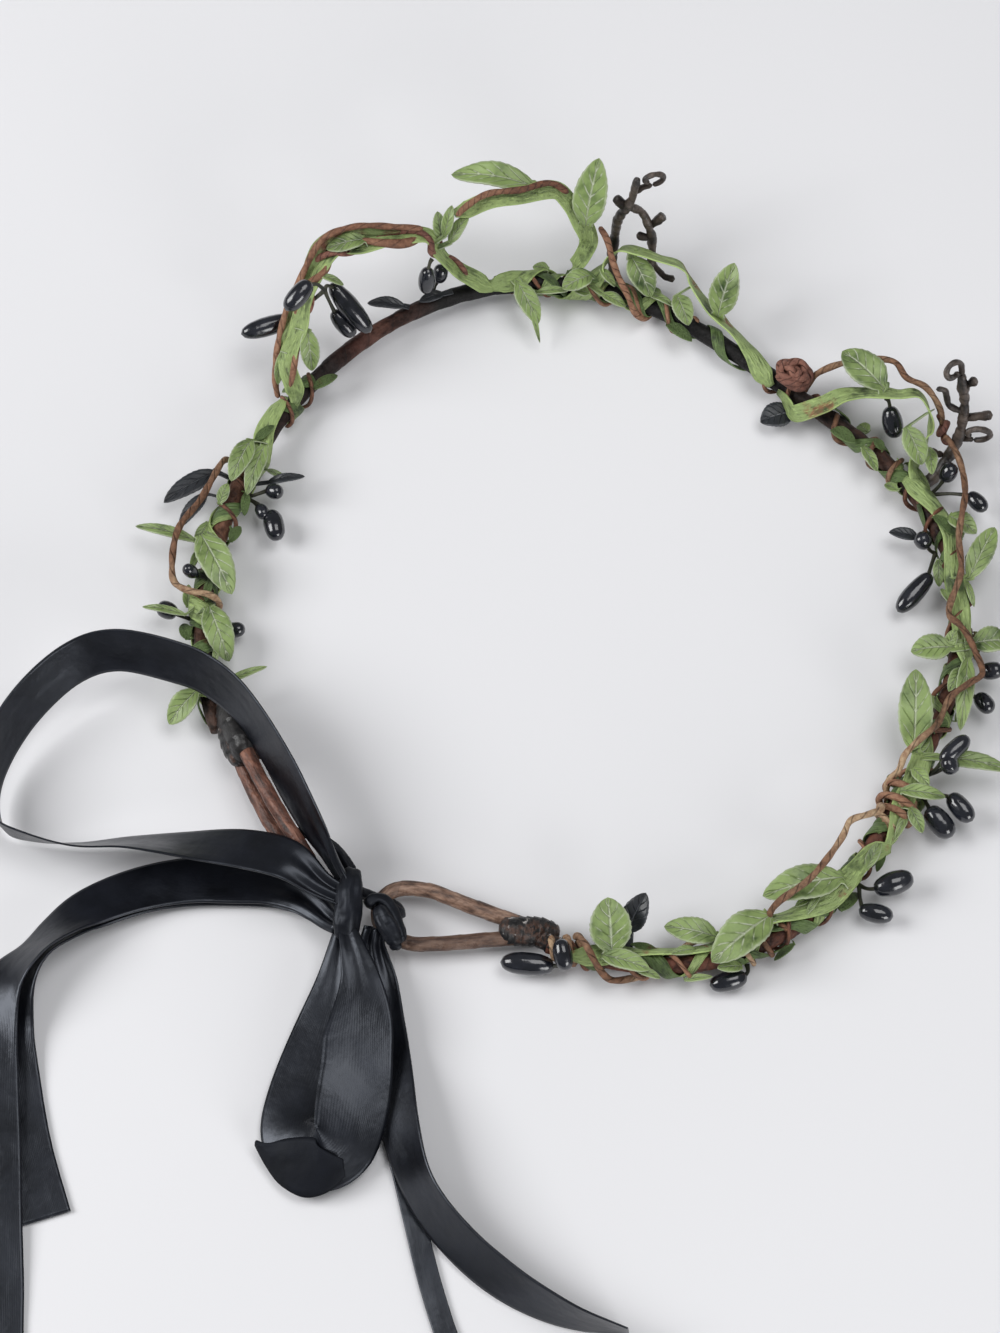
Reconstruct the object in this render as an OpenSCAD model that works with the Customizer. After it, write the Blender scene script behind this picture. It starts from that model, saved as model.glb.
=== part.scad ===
// A crown of leaf ribbon, buds and twig antlers on a wrapped wire hoop,
// closed at the back by a black satin bow. It lies on the floor, Z = 0, and the
// origin is the middle of the head opening. The antlers are at the front, -Y.
// Every piece on the hoop is placed by three numbers: "at", the angle round the
// hoop from the front; "clock", the direction round the wire, where 0 is out of
// the ring, 90 is up and 180 is towards the head; and "reach", the distance
// from the middle of the wire.

/* [Hoop] */
// Mean radius of the hoop, to the middle of its wire
hoop_mean = 88.5; // [80:0.5:96]
// Height of the middle of the wire above the floor
hoop_up = 5; // [5:0.5:8]
// Thickness of the wire with its wrapping
hoop_thick = 4.2; // [3.4:0.1:4.4]
// Thickness of the wrapped wire at the two eyelets
eyelet_thick = 3.6; // [3:0.1:3.8]

/* [Leaf ribbon] */
// Width of the green ribbon that the leaves grow from
strip_wide = 4.4; // [3:0.2:5]
// Thickness of the green ribbon and of the leaves
leaf_thick = 1.0; // [1:0.1:1.2]

/* [Twine] */
// Thickness of the paper twine
twine_thick = 1.9; // [1.2:0.1:2]
// Diameter of the wound rosette of twine
rosette_wide = 10; // [8:0.5:11]

/* [Buds] */
// Thickness of a bud's wire stem
stem_thick = 1.0; // [0.8:0.1:1.2]

/* [Antlers] */
// Thickness of an antler's wrapped stem, as a share of the drawn one
antler_share = 1.0; // [0.8:0.05:1.1]

/* [Bow] */
// Width of the satin ribbon
satin_wide = 12; // [10:0.5:13]
// Thickness of the satin ribbon
satin_thick = 1.0; // [1:0.1:1.2]

/* [Hidden] */

// Where the hoop's two ends are, round from the front
left_end_at = 148;
right_end_at = -147;
// Hand-bent lobes of the hoop: count, size in mm, angle it is turned to
LOBES = [[2, 4.0, 87], [3, 1.3, 38], [4, 3.1, -36], [5, 1.2, 26]];

// Arithmetic shared by every piece
function unit(v) = v / norm(v);
function hoop_radius(at) = hoop_mean
    + [for (l = LOBES) l[1] * cos(l[0] * (at - l[2]))] * [1, 1, 1, 1];
function outward(at) = [sin(at), -cos(at), 0];
function place(at, clock, reach) =
    outward(at) * (hoop_radius(at) + reach * cos(clock))
    + [0, 0, hoop_up + reach * sin(clock)];
function spot(row) = place(row[0], row[1], row[2]);
function off_wire(row) = outward(row[0]) * cos(row[1]) + [0, 0, sin(row[1])];

// A smooth run through the rows of a table, with n steps between two rows
function bend(a, b, c, d, t) = 0.5 * (2 * b + (c - a) * t
    + (2 * a - 5 * b + 4 * c - d) * t * t + (3 * b - a - 3 * c + d) * t * t * t);
function smooth(rows, n) = let (m = len(rows) - 1) concat(
    [for (i = [0 : m - 1], k = [0 : n - 1])
        bend(rows[max(i - 1, 0)], rows[i], rows[i + 1], rows[min(i + 2, m)], k / n)],
    [rows[m]]);
function travel(points, i) =
    unit(points[min(i + 1, len(points) - 1)] - points[max(i - 1, 0)]);

// A closed skin over rings of points, each ring turning left about the travel
module loft(rings) {
    n = len(rings[0]);
    m = len(rings);
    polyhedron(
        points = [for (ring = rings, p = ring) p],
        faces = concat(
            [for (j = [1 : n - 2]) [0, j, j + 1]],
            [for (j = [1 : n - 2]) [(m - 1) * n, (m - 1) * n + j + 1, (m - 1) * n + j]],
            [for (i = [0 : m - 2], j = [0 : n - 1]) let (a = i * n + j, b = i * n + (j + 1) % n)
                j < n / 2 ? [a + n, b + n, a] : [a + n, b + n, b]],
            [for (i = [0 : m - 2], j = [0 : n - 1]) let (a = i * n + j, b = i * n + (j + 1) % n)
                j < n / 2 ? [b + n, b, a] : [a + n, b, a]]));
}

// One ring of an outline, at a point, across a travel, with its top to a face
function ring_at(p, along, face, outline) = let (
    side = unit(cross(face, along)), top = cross(along, side))
    [for (q = outline) p + side * q[0] + top * q[1]];
function round_outline(r, sides) = [for (i = [0 : sides - 1])
    r * [cos(360 * i / sides), sin(360 * i / sides)]];
function flat_outline(wide, thick) = [
    [wide / 2, -thick / 2], [wide / 2, thick / 2],
    [-wide / 2, thick / 2], [-wide / 2, -thick / 2]];

// A band or a cord along the rows of a table of at, clock and reach
module along_hoop(rows, steps, outline) {
    run = smooth(rows, steps);
    points = [for (r = run) spot(r)];
    loft([for (i = [0 : len(run) - 1])
        ring_at(points[i], travel(points, i), off_wire(run[i]), outline)]);
}

// Turns a part made along +Z so that it runs from p towards q
module aim(p, q) {
    d = q - p;
    translate(p) rotate([0, acos(d[2] / norm(d)), atan2(d[1], d[0])]) children();
}

// Hoop: the wrapped wire, its two eyelets, and the tape that binds them on
// Eyelet rows: x, y, z
LEFT_EYELET = [[48, 73, 4.2], [39, 79, 4.4], [30, 84, 4.6], [20, 88.5, 5], [13.4, 90.4, 5.5],
               [9, 90.9, 7.2], [8.4, 90.5, 9.7], [12, 89.4, 12], [19, 87, 12.8], [28, 83, 12.1],
               [36, 79, 10.5], [43, 75, 8.5], [48, 72, 6.8]];
RIGHT_EYELET = [[-42, 70, 5], [-35, 72.5, 5], [-25, 75.5, 5], [-16.5, 78, 5],
                [-10.5, 82.5, 5], [-10, 88, 5], [-14.5, 92, 5], [-21, 91, 5],
                [-27, 86.5, 5], [-34, 80, 5], [-40.5, 74, 5]];
module eyelet(rows) {
    run = smooth(rows, 2);
    loft([for (i = [0 : len(run) - 1])
        ring_at(run[i], travel(run, i), [0.3, 0.9, 0.6], round_outline(eyelet_thick / 2, 6))]);
}
// Binding rows: x, y, z, radius
LEFT_BINDING = [[51.5, 69, 5, 2.5], [49, 71.5, 5.2, 3.3], [45, 74.5, 5.8, 3.8],
                [41.5, 77, 6.4, 3.8], [38, 79, 6.8, 3.3]];
RIGHT_BINDING = [[-46, 68.5, 5, 2.5], [-43.5, 70, 5, 3.4], [-41.5, 71.5, 5, 3.7],
                 [-39, 73.2, 5, 3.7], [-36.5, 75, 5, 3.4]];
module binding(rows) {
    for (i = [0 : len(rows) - 2])
        hull() for (r = [rows[i], rows[i + 1]])
            translate([r[0], r[1], r[2]]) sphere(r[3], $fn = 6);
}
module hoop_wire() {
    step = 6;
    count = round((left_end_at - right_end_at) / step);
    run = [for (i = [0 : count]) right_end_at + (left_end_at - right_end_at) * i / count];
    points = [for (a = run) place(a, 0, 0)];
    loft([for (i = [0 : count])
        ring_at(points[i], travel(points, i), [0, 0, 1], round_outline(hoop_thick / 2, 8))]);
}
module hoop() color("saddlebrown") {
    hoop_wire();
    eyelet(LEFT_EYELET);
    eyelet(RIGHT_EYELET);
    binding(LEFT_BINDING);
    binding(RIGHT_BINDING);
}

// Leaf outline: how far along, share of the half width, share of the thickness
LEAF_SHAPE = [[0, 0.12, 0.8], [0.28, 0.92, 1], [0.66, 0.84, 1], [1, 0.05, 0.6]];
// How far a leaf bows up, as a share of its length
leaf_bow = 0.10;

// A leaf on its stalk: where it springs from, its base, its tip, its width, and
// how far it is turned about its length
module leaf(from, base, tip, wide, roll) {
    long = norm(tip - base);
    along = unit(tip - base);
    level = unit(cross([0, 0, 1], along));
    face = cross(along, level) * cos(roll) + level * sin(roll);
    side = cross(face, along);
    rise = unit(base - from);
    turn = along * rise > -0.6 ? unit(along + rise) : along;
    stalk = leaf_thick / 2;
    loft(concat(
        [ring_at(from, rise, abs(side * rise) < 0.9 ? cross(rise, side) : face,
                 [[stalk, 0], [0, stalk], [-stalk, 0], [0, -stalk]])],
        [for (s = LEAF_SHAPE)
            let (p = base + along * long * s[0] + face * long * leaf_bow * sin(180 * s[0]),
                 w = max(wide / 2 * s[1], 0.5), t = stalk * s[2],
                 way = s[0] == 0 ? turn : along)
            ring_at(p, way, cross(way, side),
                    [[w, 0.2 * t], [0, 1.2 * t], [-w, 0.2 * t], [0, -t]])]));
}
// The point of a route that is nearest to a place
function nearest(points, p) = let (
    away = [for (q = points) norm(q - p)], i = search(min(away), away)[0]) points[i];

// Leaf ribbon with its leaves: the ribbon is a chain of short flat stretches
// Leaf rows: base at, clock, reach; tip at, clock, reach; width; roll
module garland(route, leaves) {
    run = smooth(route, 3);
    points = [for (r = run) spot(r)];
    slices = [for (i = [0 : len(run) - 1])
        ring_at(points[i], travel(points, i), off_wire(run[i]),
                flat_outline(strip_wide, leaf_thick))];
    for (i = [0 : len(run) - 2])
        hull() polyhedron(
            concat(slices[i], slices[i + 1], [points[i + 1] + 0.3 * travel(points, i + 1)]),
            [[0, 1, 2, 3], [4, 5, 6, 7], [0, 4, 8]]);
    for (r = leaves)
        leaf(nearest(points, place(r[0], r[1], r[2])), place(r[0], r[1], r[2]),
             place(r[3], r[4], r[5]), r[6], r[7]);
}
// Route rows: at, clock, reach
LEFT_ROUTE = [[91, 60, 3.6], [96.5, 90, 3.45], [103, 195, 3.55], [110, 305, 3.45],
              [116, 410, 3.45], [120.5, 540, 3.45], [125, 675, 3.45], [129, 810, 3.45],
              [133, 930, 3.45], [137.5, 1050, 3.45], [141.5, 1155, 3.45]];
LEFT_LEAVES = [
    [98.6, 70, 4.9, 106.5, 80, 5.4, 5.5, 0],
    [98.2, 113, 4.9, 107.5, 132, 5.6, 4.5, 0],
    [116.2, 52, 5.6, 126, 150, 8, 8, 0],
    [117.2, 40, 5.4, 116, 4, 20, 3, 0],
    [129.5, 45, 5.2, 128, 12, 14.5, 2, 0],
    [128, 115, 4, 137.5, 165, 6.5, 7, 0],
    [142, 60, 4.5, 145, 0, 10.5, 6, 0],
    [141.5, 150, 5, 140.5, 165, 15.5, 2, 0],
    [101, 165, 4.6, 100.5, 185, 9.5, 1.6, 0]];
ARCH_ROUTE = [[88, 100, 3.6], [86, 60, 9], [82, 63, 15], [77.5, 60, 22], [72.5, 60, 26.5],
              [68.5, 67, 26], [64, 72, 25], [59.5, 75, 22.5], [58, 78, 15.5], [56, 82, 10],
              [53.5, 93, 6], [51.5, 115, 3.6]];
ARCH_LEAVES = [
    [68, 68, 27.3, 73, 60, 28, 5.2, 0],
    [81, 70, 15, 83.5, 91, 6, 4.8, 0],
    [85, 50, 12, 88, 29, 6, 2.4, 0],
    [75.5, 64, 24, 73.5, 74, 20.5, 2, 0],
    [57.5, 74, 20, 57, 65, 25.5, 3.4, 0],
    [57, 76, 21, 55, 68, 27, 3, 0],
    [56.5, 78, 19, 53, 71, 24, 3.4, 0]];
TOP_ROUTE = [[55, 70, 25], [53, 69, 25], [50, 69, 26.5], [45.5, 70, 27.5], [41, 65, 27.5],
             [39, 65, 24.5], [37, 65, 18.5], [36, 61, 13.5], [36.8, 56, 8.5],
             [38, 50, 5], [38.8, 40, 3.5]];
TOP_LEAVES = [
    [43.5, 62, 27.5, 53.5, 46, 30, 7.2, 0],
    [36.5, 68, 19, 35, 61, 36.5, 8.4, 0]];
FRONT_ROUTE = [[50, 110, 3.3], [46.5, 90, 3.3], [43, 0, 3.3], [40, -90, 3.3],
               [37.5, -180, 3.3], [35.5, -260, 3.4],
               [34, -310, 5], [31.5, -308, 11.5], [28.5, -304, 13], [25.5, -304, 13],
               [22, -311, 13], [20, -316, 10], [17, -315, 7], [13, -310, 5.2],
               [9.5, -312, 4.2], [6.5, -290, 3.4], [3.5, -249, 3.3], [1, -220, 3.3]];
FRONT_LEAVES = [
    [47, 115, 4.5, 44.5, 175, 12.5, 5.4, 0],
    [46, 128, 4.8, 44.5, 185, 16.5, 1.6, 0],
    [35.5, 80, 5, 40, 130, 7.5, 5.8, 0],
    [34, 60, 6, 31.5, 100, 5, 2.4, 0],
    [29.5, 56, 11, 25.5, 96, 5.5, 6.8, 0],
    [33.5, 130, 4.6, 29.4, 146, 5.2, 3.2, 0],
    [21.5, 66, 6.5, 18, 120, 5.5, 5.2, 0],
    [14, 60, 7, 14, 54, 21, 7.4, 0]];
FRONT_RIGHT_ROUTE = [[-2.5, 160, 3.3], [-5, 156, 5], [-7.5, 150, 6.8], [-10.5, 104, 7.2],
                     [-12, 74, 9.4], [-15.5, 56, 13.5], [-17.5, 45, 15.5], [-19, 37, 18],
                     [-21.5, 29, 16.5], [-23.5, 15, 12], [-26, 20, 5], [-29, 60, 3.4]];
FRONT_RIGHT_LEAVES = [
    [-15.5, 50, 15, -7, 51, 16.5, 9, 0],
    [-22.5, 60, 12, -28, 55, 7, 6, 0],
    [-25.5, 24, 10, -30, 50, 7, 3.4, 0]];
RIGHT_ROUTE = [[-31, 90, 3.4], [-38, 60, 3.3], [-47, 110, 3.3], [-52, 100, 3.3],
               [-58, 75, 3.3], [-63, -15, 3.3], [-68, -100, 3.3], [-73, -190, 3.3],
               [-78, -270, 3.3], [-86, -290, 3.3], [-91, -330, 3.3]];
RIGHT_LEAVES = [
    [-37, 60, 5, -41, 39, 8.5, 5.2, 0],
    [-47.5, 60, 4.5, -40.5, 24, 12.5, 6, 0],
    [-59, 120, 4, -60.5, 165, 11.5, 6.8, 0],
    [-58, 50, 4.5, -57, 14, 12, 6.8, 0],
    [-78, 120, 4.5, -65.5, 137, 12, 8.2, 0],
    [-60.5, 60, 4.6, -72, 29, 6.5, 4.4, 0],
    [-77.4, 50, 4.8, -75, 8, 20, 4.4, 0],
    [-81, 97, 5, -82.5, 48, 7, 3.4, 0],
    [-85.3, 97, 5.2, -82.5, 24, 10, 3.8, 0],
    [-86.5, 51, 5, -88.5, 20, 9, 3.4, 0]];
BACK_ROUTE = [[-93, 33, 5], [-96, 73, 3.8], [-101, 78, 3.6], [-105, 69, 3.6],
              [-110, 120, 3.6], [-114, 140, 4.5], [-119, 140, 4], [-124, 137, 3.6],
              [-132, 140, 3.6], [-138, 94, 3.4], [-142, 60, 3.4]];
BACK_LEAVES = [
    [-101.5, 95, 4.5, -113, 150, 10, 8.6, 0],
    [-113.5, 130, 6, -124, 65, 5, 9.4, 0],
    [-121.8, 142, 5.2, -129, 154, 9, 6.4, 0],
    [-137.5, 94, 4.5, -137.5, 143, 15, 9.6, 0],
    [-139, 80, 4.5, -132.5, 56, 5, 4.8, 0]];
module garland_left() color("yellowgreen") garland(LEFT_ROUTE, LEFT_LEAVES);
module garland_arch() color("olivedrab") garland(ARCH_ROUTE, ARCH_LEAVES);
module garland_top() color("yellowgreen") garland(TOP_ROUTE, TOP_LEAVES);
module garland_front() color("olivedrab") garland(FRONT_ROUTE, FRONT_LEAVES);
module garland_front_right() color("yellowgreen")
    garland(FRONT_RIGHT_ROUTE, FRONT_RIGHT_LEAVES);
module garland_right() color("olivedrab") garland(RIGHT_ROUTE, RIGHT_LEAVES);
module garland_back() color("yellowgreen") garland(BACK_ROUTE, BACK_LEAVES);

// Twine routes: at, clock, reach
TWINE_LEFT = [[99, -70, 3.4], [101, -20, 4.4], [103.5, 28, 6.5], [110.5, 33, 7.6],
              [116.5, 34, 10.6], [122, 30, 9.6], [124.5, 30, 8], [126, 60, 5.8],
              [126.5, 115, 5], [127, 190, 3.6]];
TWINE_ARCH = [[89, 0, 4], [86.8, 32, 9], [84, 46, 14.8], [80.5, 54, 21.2],
              [77.5, 56, 24.8], [73, 59, 30.6], [68.5, 64, 30.6], [64, 70.5, 28],
              [60, 75, 25.4]];
TWINE_TOP = [[55, 77, 27], [53, 72, 27.4], [50, 69, 28.6], [45.5, 71, 29.6],
             [41.5, 66, 29.7], [39, 66, 27.2]];
TWINE_FRONT = [[34.5, 65, 18.4], [33.3, 64, 15], [32.3, 72, 10.8], [30.8, 88, 6.7],
               [28.6, 130, 6.2], [27, 180, 4], [26, 230, 3.4]];
TWINE_FRONT_RIGHT = [[-5, 40, 7], [-7, 46, 12], [-10, 40, 17.3], [-13.2, 37, 20.8],
                     [-16, 35, 19.5], [-18.5, 29, 20.5], [-21.5, 24, 19], [-23.5, 20, 16.5]];
TWINE_RIGHT = [[-25, 22, 15], [-28, 20, 14.3], [-31, 21, 12.5], [-33.5, 30, 11],
               [-36, 46, 10], [-38.5, 61, 8.8], [-42, 76, 6.6], [-47, 88, 5.6], [-53, 128, 5.4],
               [-56, 95, 5.8], [-59, 58, 5.8], [-63, 42, 8.6], [-65.5, 60, 8.4],
               [-68.5, 82, 6.6], [-72.5, 86, 6], [-75, 92, 8.2], [-77.5, 106, 7.8],
               [-80, 120, 7], [-83, 128, 5.8], [-85.5, 200, 3.8], [-87.5, 290, 3.6]];
TWINE_BACK = [[-88, 200, 3.2], [-88.5, 130, 4.5], [-90, 106, 7.5], [-92.2, 110, 9.8],
              [-95.4, 119, 12.3], [-98.4, 115, 12.3], [-102.8, 112, 11.9], [-106.6, 112, 10.9],
              [-109.2, 116, 10.1], [-111.2, 120, 9.4]];
TWINE_END = [[-143, 160, 3.4], [-142, 112, 5.2], [-141, 84, 6.1], [-139, 32, 5.6],
             [-137, -12, 4.4], [-134, -50, 3.4], [-130, -110, 3.4], [-126, -172, 5],
             [-123, -184, 5.8], [-121.4, -176, 4.9], [-119.8, -163, 3.9], [-118.2, -148, 3.5]];
module twine(route) color("peru") along_hoop(route, 2, round_outline(twine_thick / 2, 5));
module twine_left() twine(TWINE_LEFT);
module twine_arch() twine(TWINE_ARCH);
module twine_top() twine(TWINE_TOP);
module twine_front() twine(TWINE_FRONT);
module twine_front_right() twine(TWINE_FRONT_RIGHT);
module twine_right() twine(TWINE_RIGHT);
module twine_back() twine(TWINE_BACK);
module twine_end() twine(TWINE_END);

// Rosette: two layers of twine wound round a small middle, as one turned form
rosette_spot = [-2.5, 75, 4.4];
module twine_rosette() color("peru")
    aim(spot(rosette_spot), spot(rosette_spot + [0, 0, 10]))
        rotate_extrude() {
            coil = twine_thick / 2;
            square([rosette_wide / 2 - coil, 3.6 * coil]);
            translate([rosette_wide / 2 - coil, coil]) circle(coil);
            translate([rosette_wide / 2 - 1.6 * coil, 2.7 * coil]) circle(coil);
            translate([1.9, 3.6 * coil]) circle(coil);
        }

// Bud outline: share of the length, share of the radius
BUD_SHAPE = [[0, 0], [0.06, 0.45], [0.2, 0.8], [0.42, 1], [0.66, 0.95], [0.85, 0.66],
             [0.96, 0.3], [1, 0]];
module bud(long, wide) {
    rotate_extrude() polygon([for (s = BUD_SHAPE) [wide / 2 * s[1], long * s[0]]]);
}
module stem(p, q) {
    aim(p, q) cylinder(r = stem_thick / 2, h = norm(q - p), $fn = 24);
}
// Sprig of buds on wire stems from one root on the wire
// Bud rows: base at, clock, reach; tip at, clock, reach; width
module sprig(root, buds) color([0.09, 0.09, 0.11]) {
    translate(spot(root)) rotate([40, 30, 0]) sphere(0.8, $fn = 24);
    for (r = buds) {
        base = place(r[0], r[1], r[2]);
        tip = place(r[3], r[4], r[5]);
        stem(spot(root), base + (tip - base) * 0.15);
        aim(base, tip) bud(norm(tip - base), r[6]);
    }
}
module bud_sprig_1() sprig([76.3, 70.7, 21.7], [
    [78.4, 74.5, 29.1, 83.5, 72.5, 26.2, 4.8],
    [80, 38, 15, 87, 29, 21, 4.8],
    [74.3, 61, 19.5, 72.4, 112, 8, 5.2],
    [75.5, 60, 12.5, 74.5, 93, 5.5, 4.4]]);
module bud_sprig_2() sprig([59.55, 81.2, 16.5], [[60.5, 84, 14.5, 61.2, 88, 6, 4.3]]);
module bud_sprig_3() sprig([59.5, 10, 2.9], [[58.5, 38, 4.5, 57.5, 52, 9, 3.8]]);
module bud_sprig_4() sprig([107, 165, 2.9], [
    [104.4, 170, 7, 104.6, 166, 11.5, 3.8],
    [107.4, 178, 6.5, 109.6, 172, 9.5, 3.3],
    [107.4, 182, 9.5, 112.8, 180, 13.9, 5]]);
module bud_sprig_5() sprig([122.5, 45, 2.9], [[122.5, 48, 4, 123, 60, 9, 3.3]]);
module bud_sprig_6() sprig([129, 0, 2.9], [[128.4, 4, 6, 127.4, 9, 11, 4.3]]);
module bud_sprig_7() sprig([129.3, 245, 2.9], [[130.7, 200, 5.6, 131, 180, 10.2, 3.8]]);
module bud_sprig_8() sprig([-16.5, 46, 12.9], [[-17.3, 38, 11.5, -20.9, 12, 6.5, 5]]);
module bud_sprig_9() sprig([-31.5, 0, 2.9], [
    [-30.5, 12, 7.5, -29.6, 27, 12, 4.3],
    [-33.4, 5, 11, -36.6, 4, 12.8, 4]]);
module bud_sprig_10() sprig([-41.5, 180, 3.25], [
    [-40.5, 165, 4.8, -39, 148, 8, 4.3],
    [-45.3, 170, 6, -51.5, 183, 15, 4.8]]);
module bud_sprig_11() sprig([-66.5, 30, 2.9], [
    [-61.7, 8, 6, -61.4, 16, 11.5, 4.3],
    [-65, 0, 6.5, -67.4, 8, 11, 4.3]]);
module bud_sprig_12() sprig([-79.5, 5, 2.9], [
    [-79, 58, 9, -74, 46, 12, 4.3],
    [-79.1, 44.5, 8.1, -78.1, 46.5, 11.8, 5]]);
module bud_sprig_13() sprig([-82.5, -5, 2.9], [
    [-84.4, 12, 6.5, -85.7, -4, 14.5, 5.6],
    [-81.2, 10, 9.5, -82.9, 3, 17, 4.8]]);
module bud_sprig_14() sprig([-99.5, -5, 2.9], [
    [-98.8, 8, 6.6, -93.8, 5, 12, 5.6],
    [-101.9, -6, 6.6, -99.2, -4, 13.7, 4.6]]);
module bud_sprig_15() sprig([-119, -20, 2.9], [[-119.6, -15, 5.5, -124.7, -20, 5.5, 4.6]]);
module bud_sprig_16() sprig([-143.5, 20, 2.9], [
    [-145.8, -15, 4.5, -153.7, -8, 7.8, 5.4],
    [-145.3, 92, 5.4, -144.1, 22, 6.4, 4.5]]);

// Black leaves: base at, clock, reach; tip at, clock, reach; width; roll
module black_leaf(root, r) color([0.12, 0.12, 0.14])
    leaf(spot(root), place(r[0], r[1], r[2]), place(r[3], r[4], r[5]), r[6], r[7]);
module black_leaf_1() black_leaf([104.5, 0, 2.9], [104.5, 5, 6.5, 111.5, 2, 15.5, 5.2, 0]);
module black_leaf_2() black_leaf([108, 0, 2.5], [108.5, 9, 6.5, 114.5, 0, 10, 3.6, 0]);
module black_leaf_3() black_leaf([64.2, 88, 2.8], [65, 90, 4.5, 69.5, 34, 7.2, 3.3, 0]);
module black_leaf_4() black_leaf([57, 95, 2.8], [58.5, 97, 3.4, 62.5, 91, 3.6, 2.9, 0]);
module black_leaf_5() black_leaf([-5.5, 215, 2.8], [-5.5, 202, 4.2, -2.5, 188, 11, 7, 0]);
module black_leaf_6() black_leaf([-135, 200, 2.8], [-134.5, 162, 7.5, -131, 148, 17, 6, 0]);
module black_leaf_7() black_leaf([104.8, 150, 2.8], [103.5, 160, 7, 100, 165, 15, 2.4, 0]);
module black_leaf_8() black_leaf([-37, 190, 2.8], [-38, 185, 5.5, -36, 178, 11.5, 3.3, 0]);

// Antlers: wrapped twigs, as knobbly chains
// Twig rows: at, clock, reach, thickness; each twig is one list of rows
module twig(rows) {
    for (i = [0 : len(rows) - 2])
        hull() for (r = [rows[i], rows[i + 1]])
            translate(spot(r)) sphere(antler_share * r[3] / 2, $fn = 5);
}
// A curled tip that goes on from a twig's last two rows, with its radius and thickness
module curl(a, b, r, thick) {
    aim(spot(b), 2 * spot(b) - spot(a)) translate([0, 0, r]) rotate([90, 0, 0])
        rotate_extrude($fn = 10) translate([r, 0]) circle(antler_share * thick / 2, $fn = 5);
}
module antler_left() color([0.2, 0.16, 0.13]) {
    twig([[32, -20, 3.5, 2.4], [32.5, 15, 10, 2.4], [32.3, 37, 14.5, 2.3],
          [32, 52, 19.5, 2.2], [31, 58, 24, 2.8], [30.3, 60, 27, 2.2],
          [30, 63, 31, 1.9], [29.7, 64, 34.6, 1.7]]);
    twig([[31, 58, 24, 2.6], [32.7, 60, 26.5, 2.2]]);
    twig([[30.2, 60.5, 29, 1.7], [29, 60, 31, 1.5], [27.7, 58, 32, 1.3]]);
    curl([29, 60, 31], [27.7, 58, 32], 1.9, 1.2);
    twig([[26.5, -5, 3.4, 2.2], [26.8, 20, 12.5, 2.2], [27.5, 43, 18.5, 2.2],
          [28.8, 49, 22.5, 2], [30.5, 56, 24, 2.2]]);
    twig([[27.6, 43, 19, 2], [25.8, 47, 23.3, 2.6]]);
    twig([[27.4, 38, 16, 1.5], [29.3, 40, 16, 2]]);
    twig([[26.7, 15, 11, 1.5], [24.5, 10, 9, 1.5], [22.8, 10, 9.4, 2]]);
}
module antler_right() color([0.2, 0.16, 0.13]) {
    twig([[-29, -35, 3.5, 2.4], [-28.3, -8, 8.5, 2.6], [-26.3, 12, 16, 2.8],
          [-25.3, 28, 20.5, 2.4], [-24.4, 40, 25, 2.2], [-23.6, 49, 29, 2.6],
          [-23, 53, 32, 1.8]]);
    curl([-23.6, 49, 29], [-23, 53, 32], 1.9, 1.4);
    twig([[-23.7, 48, 28.5, 1.8], [-24.3, 48.5, 32.6, 2.2]]);
    twig([[-24.8, 35, 22.5, 1.8], [-23.6, 43, 22, 1.6], [-22.4, 50, 25, 1.5],
          [-21.6, 52, 24, 1.3]]);
    twig([[-25.2, 30, 21.5, 2], [-26.8, 27, 27, 2.2]]);
    twig([[-26, 16, 17, 1.6], [-27, 12, 20, 1.4]]);
    curl([-26, 16, 17], [-27, 12, 20], 1.8, 1.3);
    twig([[-26.7, 6, 12, 1.5], [-25, 2, 10.6, 2.2]]);
}

// Bow: one satin ribbon through both eyelets, as bands along rows of
// x, y, z, lean and share: lean is the slope of the ribbon's width, seen along its
// travel, and share is how much of the width is left where the ribbon is gathered
function spine(rows) = [for (r = rows) [r[0], r[1], r[2]]];
function across(t, lean) = unit([-t[1], t[0], 0]) * cos(lean) + [0, 0, sin(lean)];
module satin(rows) color([0.07, 0.07, 0.09]) {
    run = smooth(rows, 2);
    points = spine(run);
    loft([for (i = [0 : len(run) - 1])
        let (t = travel(points, i))
        ring_at(points[i], t, cross(t, across(t, run[i][3])),
                flat_outline(satin_wide * run[i][4], satin_thick))]);
}
// One row of a table, moved off the ribbon's face
function lifted(rows, i, gap) = let (
    t = travel(spine(rows), i),
    p = spine(rows)[i] + gap * cross(t, across(t, rows[i][3])))
    [p[0], p[1], p[2], rows[i][3], rows[i][4]];
LARGE_LOOP = [[1.6, 88.9, 12.6, -80, 0.5], [6.3, 87, 14.5, -74, 0.7],
              [11.3, 85, 15.8, -68, 0.85], [21.4, 80.5, 16, -66, 1],
              [31.5, 76.1, 17.5, -68, 1], [43.3, 72.3, 18.5, -68, 1],
              [53.1, 71.5, 18.5, -64, 1], [61.5, 73.1, 18, -62, 1],
              [75.5, 78.8, 16.5, -62, 1], [82.5, 87.8, 14.5, -62, 1],
              [84.7, 102.1, 12, -62, 1], [82.7, 114.7, 10, -66, 1],
              [77.8, 123.2, 9, -72, 1], [70.6, 127.2, 8.3, -80, 1],
              [63.3, 125.1, 8, -76, 1], [53.8, 120.2, 8.5, -64, 1],
              [43.8, 112.3, 9.5, -55, 1], [32.9, 105.3, 11, -38, 1],
              [21, 98.8, 13.8, -20, 1], [10.6, 95.2, 15.6, -12, 0.9],
              [1.8, 94.6, 13.2, -8, 0.55]];
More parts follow.
